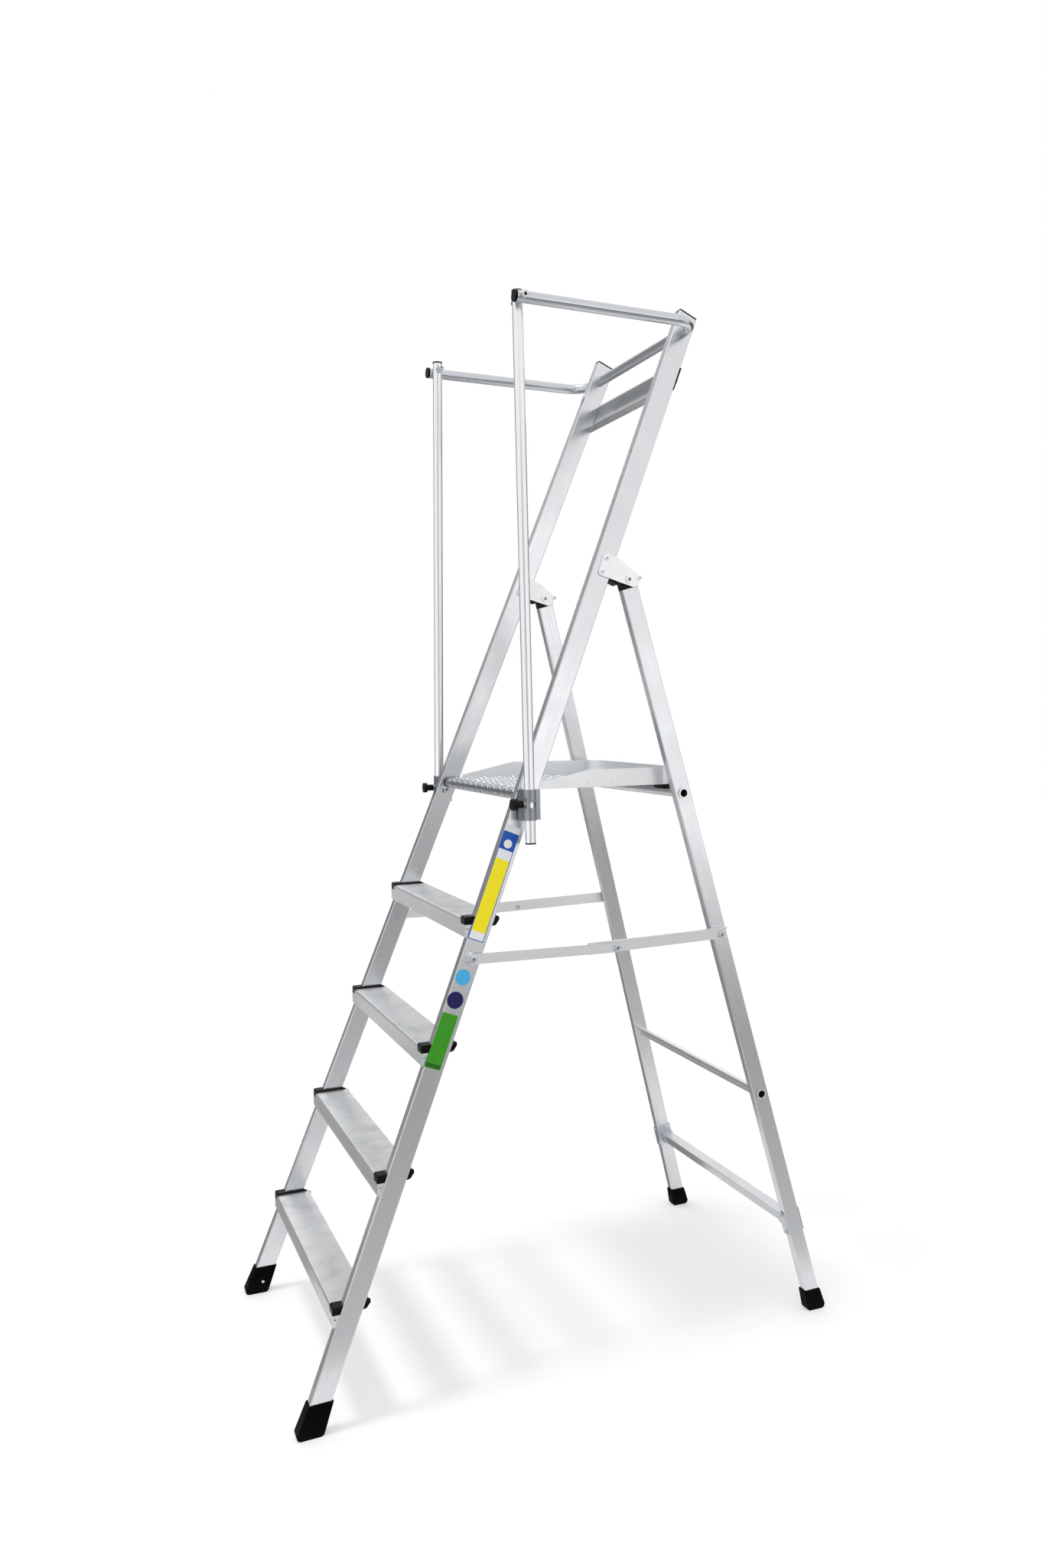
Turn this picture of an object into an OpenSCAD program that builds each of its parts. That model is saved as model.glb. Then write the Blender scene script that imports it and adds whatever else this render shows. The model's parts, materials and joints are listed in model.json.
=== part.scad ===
// Folding platform step with a handrail: stiles and treads in front, hinged legs behind.
// Origin on the floor under the middle of the step, X to the climber's right, Y to the rear, Z up.

/* [Stance] */
// Rise from one tread to the next
tread_rise = 235; // [215:1:255]
// Rise from the top tread to the platform
top_rise = 239; // [225:1:250]
// Lean of the front frame from upright, in degrees
front_angle = 22; // [20:0.5:24]
// Lean of the rear legs from upright, in degrees
rear_angle = 15.5; // [13:0.5:18]
// Inward lean of each stile, in degrees
stile_taper = 2.8; // [2.4:0.1:3.2]
// Width over the stiles at the floor
front_width = 590; // [560:5:640]
// Width over the rear legs at the floor
rear_width = 603; // [580:5:650]
// Height of the leg hinge above the platform
hinge_rise = 401; // [370:1:430]
// Height of the handrail above the platform
rail_rise = 878; // [820:1:940]

/* [Stiles] */
// Depth of the stile section
stile_d = 40; // [36:1:46]
// Thickness of the stile section
stile_t = 20; // [18:1:24]
// Wall of the stile section
stile_wall = 2; // [1.5:0.1:3]
// Corner radius of the stile section
stile_r = 2; // [1:0.5:3]
// Height of the stile top above the handrail
stile_over = 34; // [28:1:60]
// Thickness of the black top cap
cap_t = 3; // [2:0.5:6]
// Length of the plugs that hold caps in tubes
plug_l = 14; // [8:1:25]

/* [Rear legs] */
// Depth of the leg section
leg_d = 35; // [31:1:38]
// Thickness of the leg section
leg_t = 18; // [16:0.5:18]
// Wall of the leg section
leg_wall = 1.8; // [1.4:0.1:2.6]
// Height of the lower rung
low_rung_z = 511; // [440:1:600]
// Height of the bottom brace
brace_z = 212; // [170:1:280]
// Depth of the brace bar
brace_d = 24; // [18:1:28]
// Height of the brace bar
brace_h = 22; // [16:1:28]
// Wall of the brace bar
brace_wall = 1.8; // [1.2:0.1:2.5]
// Length of the brace bracket along the leg
bracket_l = 54; // [46:1:70]
// Sheet of the brace bracket
bracket_s = 2.5; // [1.5:0.5:4]
// How far the bracket's socket takes the brace bar
socket_l = 16; // [10:1:30]

/* [Feet] */
// Height of the front boots
boot_h = 63; // [50:1:80]
// Height of the rear boots
rear_boot_h = 47; // [40:1:70]
// Rubber around the tube in each boot
boot_wall = 2; // [1.5:0.5:4]
// Rubber under the tube in each boot
sole_t = 9; // [6:1:14]
// Radius of the front and rear edges of each boot at the floor
toe_r = 9; // [4:1:12]
// How far each boot spreads to the front and to the rear at the floor
boot_flare = 4; // [1:0.5:6]

/* [Treads] */
// Depth of a tread, front to back
tread_d = 74; // [70:1:78]
// How far a tread stands in front of the stile
tread_over = 19; // [17:1:22]
// Height of the tread's front face
tread_h = 35; // [30:1:38]
// Height of the tread's rear face
tread_back_h = 20; // [16:1:24]
// Sheet of the tread profile
tread_s = 2.2; // [1.8:0.1:3]
// Radius of the tread's front edge
tread_r = 4; // [3:0.5:6]
// Plain border of the tread in front of its ribs
tread_border = 6.5; // [6:0.5:10]
// Spacing of the ribs on the tread
rib_pitch = 3; // [2.5:0.5:6]
// Height of the ribs on the tread
rib_h = 0.4; // [0.3:0.1:1]
// Thickness of a tread shoe between tread and stile
shoe_wall = 4; // [3:0.5:6]
// Height of a tread shoe's cap in front of the stile
hood_drop = 11; // [9:1:14]

/* [Platform] */
// How far the platform runs past the middle of the rung that carries it
deck_over = 15.5; // [13:0.5:20]
// Sheet of the platform
deck_s = 2.5; // [2:0.5:3.5]
// Outer radius of the rolled front nose
nose_r = 11; // [10:0.5:13]
// Gap between platform and stile
deck_gap = 6; // [5:0.5:10]
// Height of the toe board
toe_h = 35; // [28:1:50]
// Sheet of the toe board
toe_s = 2; // [1.5:0.5:3]
// Plan radius of the toe board's rear corners
toe_corner = 48; // [30:1:70]
// How far behind the pivot the toe board starts
toe_start = 30; // [20:1:60]
// Length over which the toe board rises to its full height
toe_ramp = 120; // [80:1:160]
// Radius of the platform's pivot rod
rod_r = 6; // [5:0.5:7]
// Plastic between the rung and the platform in each saddle
saddle_t = 6; // [4:0.5:9]
// Width of a saddle
saddle_w = 40; // [20:1:60]

/* [Tubes] */
// Radius of the rung, rail and post tubes
tube_r = 10; // [9:0.5:11]
// Wall of the rung, rail and post tubes
tube_wall = 2; // [1.5:0.1:2.5]
// Lip of a rung's flared end around its tube
flare_w = 1.5; // [1:0.5:3]

/* [Handrail] */
// Half the distance between the side rails
rail_x = 246; // [236:1:260]
// Bend radius of the handrail at its middle line
bend_r = 50; // [40:1:54]
// How far a rail runs past its post bolt
rail_end = 12; // [11:1:25]
// Sideways distance from rail to post
rail_post = 22; // [22:0.5:26]
// How far a post runs above its rail bolt
post_top = 14; // [11:1:25]
// How far a post runs below its sleeve pivot
post_drop = 71; // [50:1:100]
// Distance of the post from the stile face at the sleeve
post_off = 30.5; // [28:0.5:36]
// Length of the post's sleeve
sleeve_l = 58; // [46:1:70]
// Wall of the sleeve around the post
sleeve_wall = 2.2; // [2:0.1:4]
// Height of the sleeve pivot below the platform
sleeve_drop = 27; // [26:1:40]
// Travel of the locking plunger
plunger_travel = 8; // [4:1:9]
// Radius of the plunger pin
pin_r = 3; // [2:0.5:4]

/* [Stays] */
// Height of the stay's end pivots
stay_z = 865; // [830:1:900]
// Level distance from the front pivot to the middle pivot
stay_front_l = 306; // [290:1:320]
// How far the middle pivot hangs below the end pivots
stay_sag = 5; // [3:0.5:8]
// Height of the stay bars
stay_h = 20; // [16:1:24]
// Sheet of the stay bars
stay_s = 2.5; // [2:0.5:3.5]
// How far the rear bar's stop runs past the middle pivot
stay_stop = 62; // [40:1:80]
// Gap between the leg face and the rear bar
stay_gap = 2; // [1.5:0.5:4]
// Length of the boss between the stile and the front bar
stay_boss = 6.3; // [5:0.1:10]
// Radius of the stay bolts
bolt_r = 4; // [3:0.5:5]

/* [Hinge] */
// Distance of the hinge pin behind the stile
hinge_back = 39; // [37:0.5:44]
// Thickness of a hinge plate
plate_t = 3; // [2:0.5:4]
// Radius of the hinge pin
hinge_r = 5; // [4:0.5:6]
// Half the distance between the two plate rivets
rivet_half = 14; // [12:0.5:16]
// Radius of the plate rivets
rivet_r = 2.5; // [2:0.5:3]

/* [Back bar] */
// Height of the back bar along the stile
bar_h = 45; // [36:1:60]
// Depth of the back bar's lips
bar_lip = 14; // [8:1:18]
// Sheet of the back bar
bar_s = 2.5; // [2:0.5:4]
// Height of the back bar's middle below the handrail
bar_drop = 80; // [70:1:120]

/* [Fits] */
// Radial clearance of pins that turn in their bores
run = 0.06; // [0.03:0.01:0.1]
// Radial clearance of pieces that stay put in their holes
seat = 0.04; // [0.02:0.01:0.1]
// Clearance between pieces that move past each other
clear = 0.3; // [0.3:0.1:0.6]

/* [Hidden] */
$fn = 48;

ALLOY = "#c9ccd0";
BRIGHT = "#dcdfe2";
ZINC = "#a9adb2";
BLACK = "#1b1b1d";
far = 400;

// Heights that follow the rises
deck_z = 4 * tread_rise + top_rise;
hinge_z = deck_z + hinge_rise;
rail_z = deck_z + rail_rise;
stile_top_z = rail_z + stile_over;
sleeve_z = deck_z - sleeve_drop;
rod_z = deck_z - nose_r;
rung_z = deck_z - deck_s - saddle_t - clear - tube_r;

// The front frame's plane: u runs rearwards square to the stiles, w runs up along them
function w_at(z, u = 0) = (z + u * sin(front_angle)) / cos(front_angle);
hinge_u = stile_d / 2 + hinge_back;
hinge_w = w_at(hinge_z, hinge_u);
leg_run = hinge_z * tan(rear_angle);
boot_front = (stile_d / 2 + boot_wall) / cos(front_angle);
boot_rear = (leg_d / 2 + boot_wall) / cos(rear_angle);
foot_front = boot_front + boot_flare - toe_tuck(splay(front_angle, boot_h));
foot_rear = boot_rear + boot_flare - toe_tuck(splay(rear_angle, rear_boot_h));
hinge_run = hinge_u * cos(front_angle) + hinge_w * sin(front_angle);
front_y = (foot_front - hinge_run - leg_run - foot_rear) / 2;
function axis_y(z) = front_y + z * tan(front_angle);
function front_face_y(z) = axis_y(z) - stile_d / 2 / cos(front_angle);
half_face = stile_t / 2 / cos(stile_taper);
stile_x0 = front_width / 2 - half_face;
function stile_x(z, u = 0) = stile_x0 - w_at(z, u) * tan(stile_taper);
function along(z) = w_at(z) / cos(stile_taper);

// The rear frame, from the hinge pin down
hinge_y = front_y + hinge_run;
hinge_x = stile_x(hinge_z, hinge_u);
leg_taper = atan((rear_width / 2 - leg_t / 2 - hinge_x) * cos(rear_angle) / hinge_z);
function leg_y(z) = hinge_y + (hinge_z - z) * tan(rear_angle);
function leg_x(z) = hinge_x + (hinge_z - z) / cos(rear_angle) * tan(leg_taper);
function down(z) = (hinge_z - z) / cos(rear_angle) / cos(leg_taper);
leg_half = leg_t / 2 / cos(leg_taper);
leg_top = leg_d / 2;

// Places along the frames
rod_y = axis_y(rod_z);
rung_y = leg_y(rung_z);
rail_y = axis_y(rail_z);
stay_a = [axis_y(stay_z), stay_z];
stay_b = [leg_y(stay_z), stay_z];
stay_m = [stay_a[0] + stay_front_l, stay_z - stay_sag];
stay_x = stile_x(stay_z) + half_face + stay_boss - stay_s;
stay_skew = atan((leg_x(stay_z) + leg_half + stay_gap - stay_x) / (stay_b[0] - stay_a[0]));
stay_turn_front = atan2(stay_m[1] - stay_a[1], stay_m[0] - stay_a[0]);
stay_turn_rear = atan2(stay_b[1] - stay_m[1], stay_b[0] - stay_m[0]);
stay_len_front = norm(stay_m - stay_a);
stay_len_rear = norm(stay_b - stay_m);
stay_outer = stay_s + clear;
stay_head = 3.5;
head_r = bolt_r + 3;

// The post's own frame: its pivot, its line at rest and its line when folded down
fold_len = (rail_z - sleeve_z) / cos(front_angle) - (rail_z - sleeve_z) * tan(front_angle);
post_foot = [stile_x(sleeve_z) + half_face + post_off, axis_y(sleeve_z), sleeve_z];
post_x_top = rail_x - rail_post;
post_up = [post_x_top - post_foot[0], 0, rail_z - sleeve_z];
post_down = [post_x_top - post_foot[0], fold_len * sin(front_angle), fold_len * cos(front_angle)];
post_l = norm(post_up);
e3 = post_up / post_l;
e1 = cross(post_down, post_up) / norm(cross(post_down, post_up));
e2 = cross(e3, e1);
sleeve_r = tube_r + sleeve_wall;
washer_t = 3;
sleeve_back = post_off - washer_t;
sleeve_wing = 4;
sleeve_rear = 27;
sleeve_neck = 12;
access_r = 6;
sleeve_bolt_r = 4;
sleeve_head_r = 6.5;
sleeve_head = 4;
pocket_r = sleeve_head_r + 1;
pocket_floor = sleeve_back - 8;
boss_r = 7;
boss_end = sleeve_r + 3;
knob_neck_r = 7;
knob_r = 11;
knob_l = 22;
knob_head = 8;

module right() children();
module left() mirror([1, 0, 0]) children();
module both() {
    right() children();
    left() children();
}
module front_plane() translate([0, front_y, 0]) rotate([-front_angle, 0, 0]) children();
module on_stile(z = 0) front_plane() translate([stile_x0, 0, 0]) rotate([0, -stile_taper, 0])
    translate([0, 0, along(z)]) children();
module at_hinge() front_plane() translate([stile_x0, 0, 0]) rotate([0, -stile_taper, 0])
    translate([0, hinge_u, hinge_w / cos(stile_taper)]) children();
module on_leg(z = hinge_z) translate([hinge_x, hinge_y, hinge_z]) rotate([rear_angle, 0, 0])
    rotate([0, -leg_taper, 0]) translate([0, 0, -down(z)]) children();
module on_post() multmatrix([
    [e1[0], e2[0], e3[0], post_foot[0]],
    [e1[1], e2[1], e3[1], post_foot[1]],
    [e1[2], e2[2], e3[2], post_foot[2]]]) children();

// The stay's plane, from its front pivot: x from the rear bar's inner face, y to the rear
module on_stay(at = [0, 0]) translate([stay_x, stay_a[0], stay_a[1]]) rotate([0, 0, -stay_skew])
    translate([0, at[0] - stay_a[0], at[1] - stay_a[1]]) children();

// A flat outline drawn in (y, z) and made solid along x from x0
module along_x(x0, length) translate([x0, 0, 0]) rotate([90, 0, 90]) linear_extrude(length) children();
module rod_x(x0, length, r) translate([x0, 0, 0]) rotate([0, 90, 0]) cylinder(r = r, h = length);
module tube_x(x0, length, r, bore) difference() {
    rod_x(x0, length, r);
    rod_x(x0 - 1, length + 2, bore);
}

function arc(c, r, from, to, n = 6) =
    [for (i = [0:n]) let (a = from + (to - from) * i / n) c + r * [cos(a), sin(a)]];
function rounded(w, h, r) = concat(
    arc([w / 2 - r, h / 2 - r], r, 0, 90, 3), arc([r - w / 2, h / 2 - r], r, 90, 180, 3),
    arc([r - w / 2, r - h / 2], r, 180, 270, 3), arc([w / 2 - r, r - h / 2], r, 270, 360, 3));
module box_section(w, h, wall, r) difference() {
    polygon(rounded(w, h, r));
    polygon(rounded(w - 2 * wall, h - 2 * wall, max(r - wall, 0.3)));
}

// Stiles
stile_end_z = sole_t + stile_d / 2 * sin(front_angle);
groove_w = 1.6;
groove_d = 0.7;
module stile_section() difference() {
    box_section(stile_t, stile_d, stile_wall, stile_r);
    for (x = [-stile_t / 5, stile_t / 5])
        translate([x, -stile_d / 2]) square([groove_w, 2 * groove_d], center = true);
}
module hinge_rivet_holes(r) at_hinge() for (s = [-1, 1])
    translate([0, -hinge_u, s * rivet_half + rivet_lift]) rod_x(-far / 4, far / 2, r);
rivet_lift = 3;
module stile() color(ALLOY) difference() {
    on_stile(stile_end_z) linear_extrude(along(stile_top_z) - along(stile_end_z)) stile_section();
    translate([0, rail_y, rail_z]) rod_x(0, far, tube_r + run);
    translate([0, rod_y, rod_z]) rod_x(0, stile_x(rod_z), rod_r + seat);
    on_stay(stay_a) rod_x(-far / 4, far / 2, bolt_r + seat);
    on_post() rod_x(-far / 4, far / 4, sleeve_bolt_r + 1);
    hinge_rivet_holes(rivet_r + seat);
}
module stile_right() right() stile();
module stile_left() left() stile();
module tube_plug(w, h, wall, t) {
    linear_extrude(t) polygon(rounded(w, h, stile_r));
    translate([0, 0, -plug_l]) linear_extrude(plug_l + t / 2)
        polygon(rounded(w - 2 * wall - 2 * seat, h - 2 * wall - 2 * seat, 1));
}
module stile_caps() color(BLACK) both() on_stile(stile_top_z)
    tube_plug(stile_t, stile_d, stile_wall, cap_t);

// Feet: a leaning boot cut flat at the floor and level at the top, spread and rounded at toe and heel
function splay(lean, h) = atan(tan(lean) + boot_flare / h);
function toe_tuck(lean) = toe_r * (tan(lean) + 1 / cos(lean) - 1);
function toe_line(y0, lean) = arc([y0 + toe_tuck(lean) + toe_r, toe_r], toe_r, 180 - lean, 270);
function heel_line(y0, lean) =
    let (line = toe_line(-y0, lean))
    [for (k = [len(line) - 1:-1:0]) [-line[k][0], line[k][1]]];
module boot_side(y_front, y_rear, lean, h) polygon(concat(
    [[y_front + h * tan(lean), h]], toe_line(y_front - boot_flare, splay(lean, h)),
    heel_line(y_rear + boot_flare, splay(-lean, h)), [[y_rear + h * tan(lean), h]]));
module front_feet() color(BLACK) both() difference() {
    intersection() {
        along_x(0, far) boot_side(axis_y(0) - boot_front, axis_y(0) + boot_front, front_angle, boot_h);
        on_stile() translate([-stile_t / 2 - boot_wall, -far / 2, -far / 2])
            cube([stile_t + 2 * boot_wall, far, far]);
    }
    on_stile(stile_end_z) linear_extrude(far) polygon(rounded(stile_t, stile_d, stile_r));
}
leg_end_z = sole_t + leg_d / 2 * sin(rear_angle);
module rear_feet() color(BLACK) both() difference() {
    intersection() {
        along_x(0, far) boot_side(leg_y(0) - boot_rear, leg_y(0) + boot_rear, -rear_angle, rear_boot_h);
        on_leg(0) translate([-leg_t / 2 - boot_wall, -far / 2, -far / 2])
            cube([leg_t + 2 * boot_wall, far, far]);
    }
    on_leg(leg_end_z) linear_extrude(far) polygon(rounded(leg_t, leg_d, stile_r));
}

// Treads: an open channel with a ribbed top, a rounded nose, a tall front face and a shorter rear face.
// The front face runs on in front of the stiles, and an end tab closes it there
function tread_z(i) = i * tread_rise;
function tread_y(i) = front_face_y(tread_z(i)) - tread_over;
function tread_half(i) = stile_x(tread_z(i)) - half_face - shoe_wall;
function nose_half(i) = stile_x(tread_z(i)) + half_face;
lip_w = 7;
bead = 1;
bead_z = 3;
rib_n = floor((tread_d - tread_border) / rib_pitch);
nose_c = [tread_r, -rib_h - tread_r];
module front_lip() {
    translate([0, -tread_h]) square([lip_w, tread_s]);
    translate([-bead / 2, -tread_h + bead_z]) square(bead);
}
module tread_profile() {
    polygon(concat([[0, -tread_h]], arc(nose_c, tread_r, 180, 90),
        [[tread_d, -rib_h], [tread_d, -rib_h - tread_s]],
        arc(nose_c, tread_r - tread_s, 90, 180), [[tread_s, -tread_h]]));
    front_lip();
    translate([tread_d - tread_s, -tread_back_h]) square([tread_s, tread_back_h - rib_h]);
    translate([tread_d - lip_w, -tread_back_h]) square([lip_w, tread_s]);
    translate([tread_d / 2, -tread_back_h + tread_s]) square([tread_s, tread_back_h - tread_s - rib_h]);
    for (k = [0:rib_n - 1])
        translate([tread_border + k * rib_pitch, -rib_h - tread_s / 2])
            square([rib_pitch / 2, rib_h + tread_s / 2]);
}
module before_stile(i, gap) on_stile(tread_z(i))
    translate([-stile_t / 2, -stile_d / 2 - gap, -far / 2]) cube([far, far, far]);
module nose_end(i) difference() {
    translate([0, tread_y(i), tread_z(i)]) {
        along_x(tread_half(i) - tread_s, nose_half(i) - tread_half(i) + tread_s) {
            translate([0, -tread_h]) square([tread_s, tread_h - hood_drop]);
            front_lip();
        }
        along_x(nose_half(i) - tread_s, tread_s)
            translate([0, -tread_h]) square([tread_over, tread_h - hood_drop]);
    }
    before_stile(i, clear);
}
module tread(i) color(BRIGHT) difference() {
    union() {
        translate([0, tread_y(i), tread_z(i)])
            along_x(-tread_half(i), 2 * tread_half(i)) tread_profile();
        both() nose_end(i);
    }
    screw_places(i) cylinder(r = screw_r + seat, h = 4 * tread_s, center = true);
}
module tread_1() tread(1);
module tread_2() tread(2);
module tread_3() tread(3);
module tread_4() tread(4);

// Tread shoes: an end plate against the stile, with a cap and a plug in the tread's nose in front of it
shoe_lip = 4;
shoe_tail = 4;
module shoe_profile() polygon(concat(
    [[0, -hood_drop]], arc([shoe_lip, 0], shoe_lip, 180, 90),
    [[tread_d - 10, shoe_lip], [tread_d + shoe_tail, -4], [tread_d + shoe_tail, -10],
     [tread_d - 4, -tread_back_h], [tread_s, -tread_h + tread_s], [tread_s, -hood_drop]]));
module tread_shoe(i) difference() {
    translate([0, tread_y(i), tread_z(i)])
        along_x(tread_half(i), nose_half(i) - tread_s - tread_half(i)) shoe_profile();
    before_stile(i, 0);
    screw_places(i) cylinder(r = screw_r + seat, h = 2 * screw_l + 1, center = true);
}
module tread_shoes() color(BLACK) for (i = [1:4]) tread_shoe(i);
module tread_shoes_right() right() tread_shoes();
module tread_shoes_left() left() tread_shoes();
screw_r = 2;
screw_l = 12;
screw_head_r = 3.6;
screw_head = 1.8;
port_head_r = 2.8;
port_y = 5;
port_z = 18;
module screw_places(i) both() translate([nose_half(i), tread_y(i) + port_y, tread_z(i) - port_z])
    rotate([0, 90, 0]) children();
module tread_screws() color(ZINC) for (i = [1:4]) screw_places(i) {
    translate([0, 0, -screw_l]) cylinder(r = screw_r, h = screw_l + screw_head / 2);
    cylinder(r = port_head_r, h = screw_head);
}

// Hinge: two plates on each stile, a spacer between them, rivets and a hollow pin
plate_tip = [9, 3];
plate_tip_r = 14;
plate_r = 8;
rear_pin = [20, 12];
module plate_outline() hull() {
    translate([-hinge_u, rivet_lift - rivet_half]) circle(r = plate_r, $fn = 32);
    translate([-hinge_u, rivet_lift + rivet_half]) circle(r = plate_r, $fn = 32);
    translate([plate_r - hinge_back, rivet_lift + rivet_half + 2]) circle(r = plate_r, $fn = 32);
    translate(plate_tip) circle(r = plate_tip_r, $fn = 32);
}
module hinge_plate(x0) difference() {
    at_hinge() along_x(x0, plate_t) plate_outline();
    at_pin() rod_x(0, far, hinge_r + seat);
    hinge_rivet_holes(rivet_r + seat);
    at_hinge() translate([0, rear_pin[0], rear_pin[1]]) rod_x(-far / 4, far / 2, rivet_r + seat);
}
module at_pin() translate([0, hinge_y, hinge_z]) children();
module hinge_plates_outer() color(BRIGHT) both() hinge_plate(stile_t / 2);
module hinge_plates_inner() color(BRIGHT) both() hinge_plate(-stile_t / 2 - plate_t);
spacer_back = -leg_d / 2 - 1;
spacer_low = -20;
spacer_h = 42;
module hinge_spacers() color(BLACK) both() at_hinge()
    translate([-stile_t / 2, -hinge_back, spacer_low]) cube([stile_t, hinge_back + spacer_back, spacer_h]);
rivet_head = 1.5;
module rivet_x(half) {
    rod_x(-half, 2 * half, rivet_r);
    rod_x(half, rivet_head, rivet_r * 1.8);
    rod_x(-half - rivet_head, rivet_head, rivet_r * 1.8);
}
module hinge_rivets() color(ZINC) both() at_hinge() {
    for (s = [-1, 1]) translate([0, -hinge_u, s * rivet_half + rivet_lift]) rivet_x(stile_t / 2 + plate_t);
    translate([0, rear_pin[0], rear_pin[1]]) rivet_x(stile_t / 2 + plate_t);
}
pin_flange = 1.2;
pin_flange_r = hinge_r + 2.5;
pin_half = half_face + plate_t + pin_flange_r * tan(stile_taper) + 0.3;
module hinge_pins() color(ZINC) both() at_pin() translate([hinge_x, 0, 0]) difference() {
    union() {
        rod_x(-pin_half, 2 * pin_half, hinge_r);
        rod_x(pin_half, pin_flange, pin_flange_r);
        rod_x(-pin_half - pin_flange, pin_flange, pin_flange_r);
    }
    rod_x(-far / 2, far, hinge_r - 1.5);
}

// Back bar: a shallow channel across the backs of the stiles, with black end caps
bar_z = rail_z - bar_drop;
bar_half = stile_x(bar_z) + half_face - 3;
bar_cap = 2.5;
module bar_profile() {
    translate([stile_d / 2, -bar_h / 2]) square([bar_s, bar_h]);
    for (s = [-1, 1]) translate([stile_d / 2 - bar_lip / 2 + bar_s / 2, s * (bar_h - bar_s) / 2])
        square([bar_lip + bar_s, bar_s], center = true);
}
module on_bar() front_plane() translate([0, 0, w_at(bar_z)]) children();
bar_bolt_r = 3;
module bar_bolt_places() both() on_bar() translate([stile_x(bar_z), stile_d / 2, 0])
    rotate([-90, 0, 0]) children();
module back_bar() color(ALLOY) difference() {
    on_bar() along_x(-bar_half, 2 * bar_half) bar_profile();
    both() on_stile(bar_z) translate([-stile_t / 2 - clear, -far / 2, -far / 2])
        cube([far, far / 2 + stile_d / 2, far]);
    bar_bolt_places() cylinder(r = bar_bolt_r + seat, h = far, center = true);
}
module back_bar_caps() color(BLACK) both() on_bar()
    translate([bar_half, stile_d / 2, -bar_h / 2]) cube([bar_cap, bar_s, bar_h]);
module back_bar_bolts() color(ZINC) bar_bolt_places() {
    cylinder(r = bar_bolt_r, h = bar_s + 0.5);
    translate([0, 0, bar_s]) cylinder(r = 2 * bar_bolt_r, h = 3);
}

// Stay pivots on the stiles
bolt_in = 2 * stile_t;
nut_l = 6;
module stay_bosses() color(ALLOY) both() difference() {
    on_stay(stay_a) tube_x(-stile_t, stile_t + stay_outer - clear, stay_h / 2, bolt_r + seat);
    on_stile(stay_z) translate([-far / 2, -far / 2, -far / 2]) cube([far / 2 + stile_t / 2, far, far]);
}
module stay_pivot_bolts() color(ZINC) both() {
    on_stay(stay_a) {
        rod_x(-bolt_in, bolt_in + stay_outer + stay_s + clear + stay_head / 2, bolt_r);
        rod_x(stay_outer + stay_s + clear, stay_head, head_r);
    }
    on_stile(stay_z) rod_x(-stile_t / 2 - nut_l, nut_l, head_r);
}

// Sleeve pivots on the stiles: a canted washer and a bolt
washer_r = 17;
module sleeve_washers() color(BLACK) both() difference() {
    on_post() tube_x(-sleeve_back - far / 8, far / 8 - clear, washer_r, sleeve_bolt_r + seat);
    on_stile(sleeve_z) translate([-far / 2, -far / 2, -far / 2]) cube([far / 2 + stile_t / 2, far, far]);
}
module sleeve_bolts() color(ZINC) both() {
    difference() {
        on_post() rod_x(-post_off - stile_t - 8, post_off + stile_t + 8 - pocket_floor, sleeve_bolt_r);
        on_stile(sleeve_z) translate([-far - stile_t / 2 - 8, -far / 2, -far / 2]) cube([far, far, far]);
    }
    on_post() rod_x(clear - pocket_floor, sleeve_head, sleeve_head_r);
    on_stile(sleeve_z) rod_x(-stile_t / 2 - 5, 5, sleeve_head_r);
}

// Platform pivot: a rod between the stiles with a bush at each end
rod_half = stile_x(rod_z) + stile_t / 4;
deck_half = stile_x(rod_z) - half_face - deck_gap;
module platform_rod() color(ZINC) translate([0, rod_y, rod_z]) rod_x(-rod_half, 2 * rod_half, rod_r);
module platform_bushes() color(BLACK) both() difference() {
    translate([0, rod_y, rod_z]) tube_x(deck_half + clear, 2 * deck_gap, rod_r + 4, rod_r + seat);
    on_stile(rod_z) translate([-stile_t / 2, -far / 2, -far / 2]) cube([far, far, far]);
}

// Rear legs
module leg() color(ALLOY) difference() {
    on_leg(leg_end_z) linear_extrude(down(leg_end_z) - leg_top) box_section(leg_t, leg_d, leg_wall, stile_r);
    translate([0, rung_y, rung_z]) rod_x(0, far, tube_r + seat);
    translate([0, leg_y(low_rung_z), low_rung_z]) rod_x(0, far, tube_r + seat);
}
module leg_right() right() leg();
module leg_left() left() leg();
leg_cap_t = leg_t - 1;
module leg_caps() color(BLACK) both() difference() {
    on_leg() {
        rod_x(-leg_cap_t / 2, leg_cap_t, leg_d / 2 - 0.3);
        translate([-leg_cap_t / 2, -leg_d / 2 + 0.3, -leg_top]) cube([leg_cap_t, leg_d - 0.6, leg_top]);
        translate([0, 0, -leg_top - plug_l]) linear_extrude(plug_l + 1) polygon(rounded(
            leg_t - 2 * leg_wall - 2 * seat, leg_d - 2 * leg_wall - 2 * seat, 0.5));
    }
    at_pin() rod_x(0, far, hinge_r + run);
}

// Rungs: tubes through both legs, flared over the outer faces
module rung(z) color(ALLOY) translate([0, leg_y(z), z]) difference() {
    union() {
        rod_x(-rung_half(z), 2 * rung_half(z), tube_r);
        rod_x(rung_half(z), flare_w, tube_r + flare_w);
        rod_x(-rung_half(z) - flare_w, flare_w, tube_r + flare_w);
    }
    rod_x(-far, 2 * far, tube_r - tube_wall);
}
function rung_half(z) = leg_x(z) + leg_half + (tube_r + flare_w) * tan(leg_taper) + 0.05;
module support_rung() rung(rung_z);
module lower_rung() rung(low_rung_z);

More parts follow.
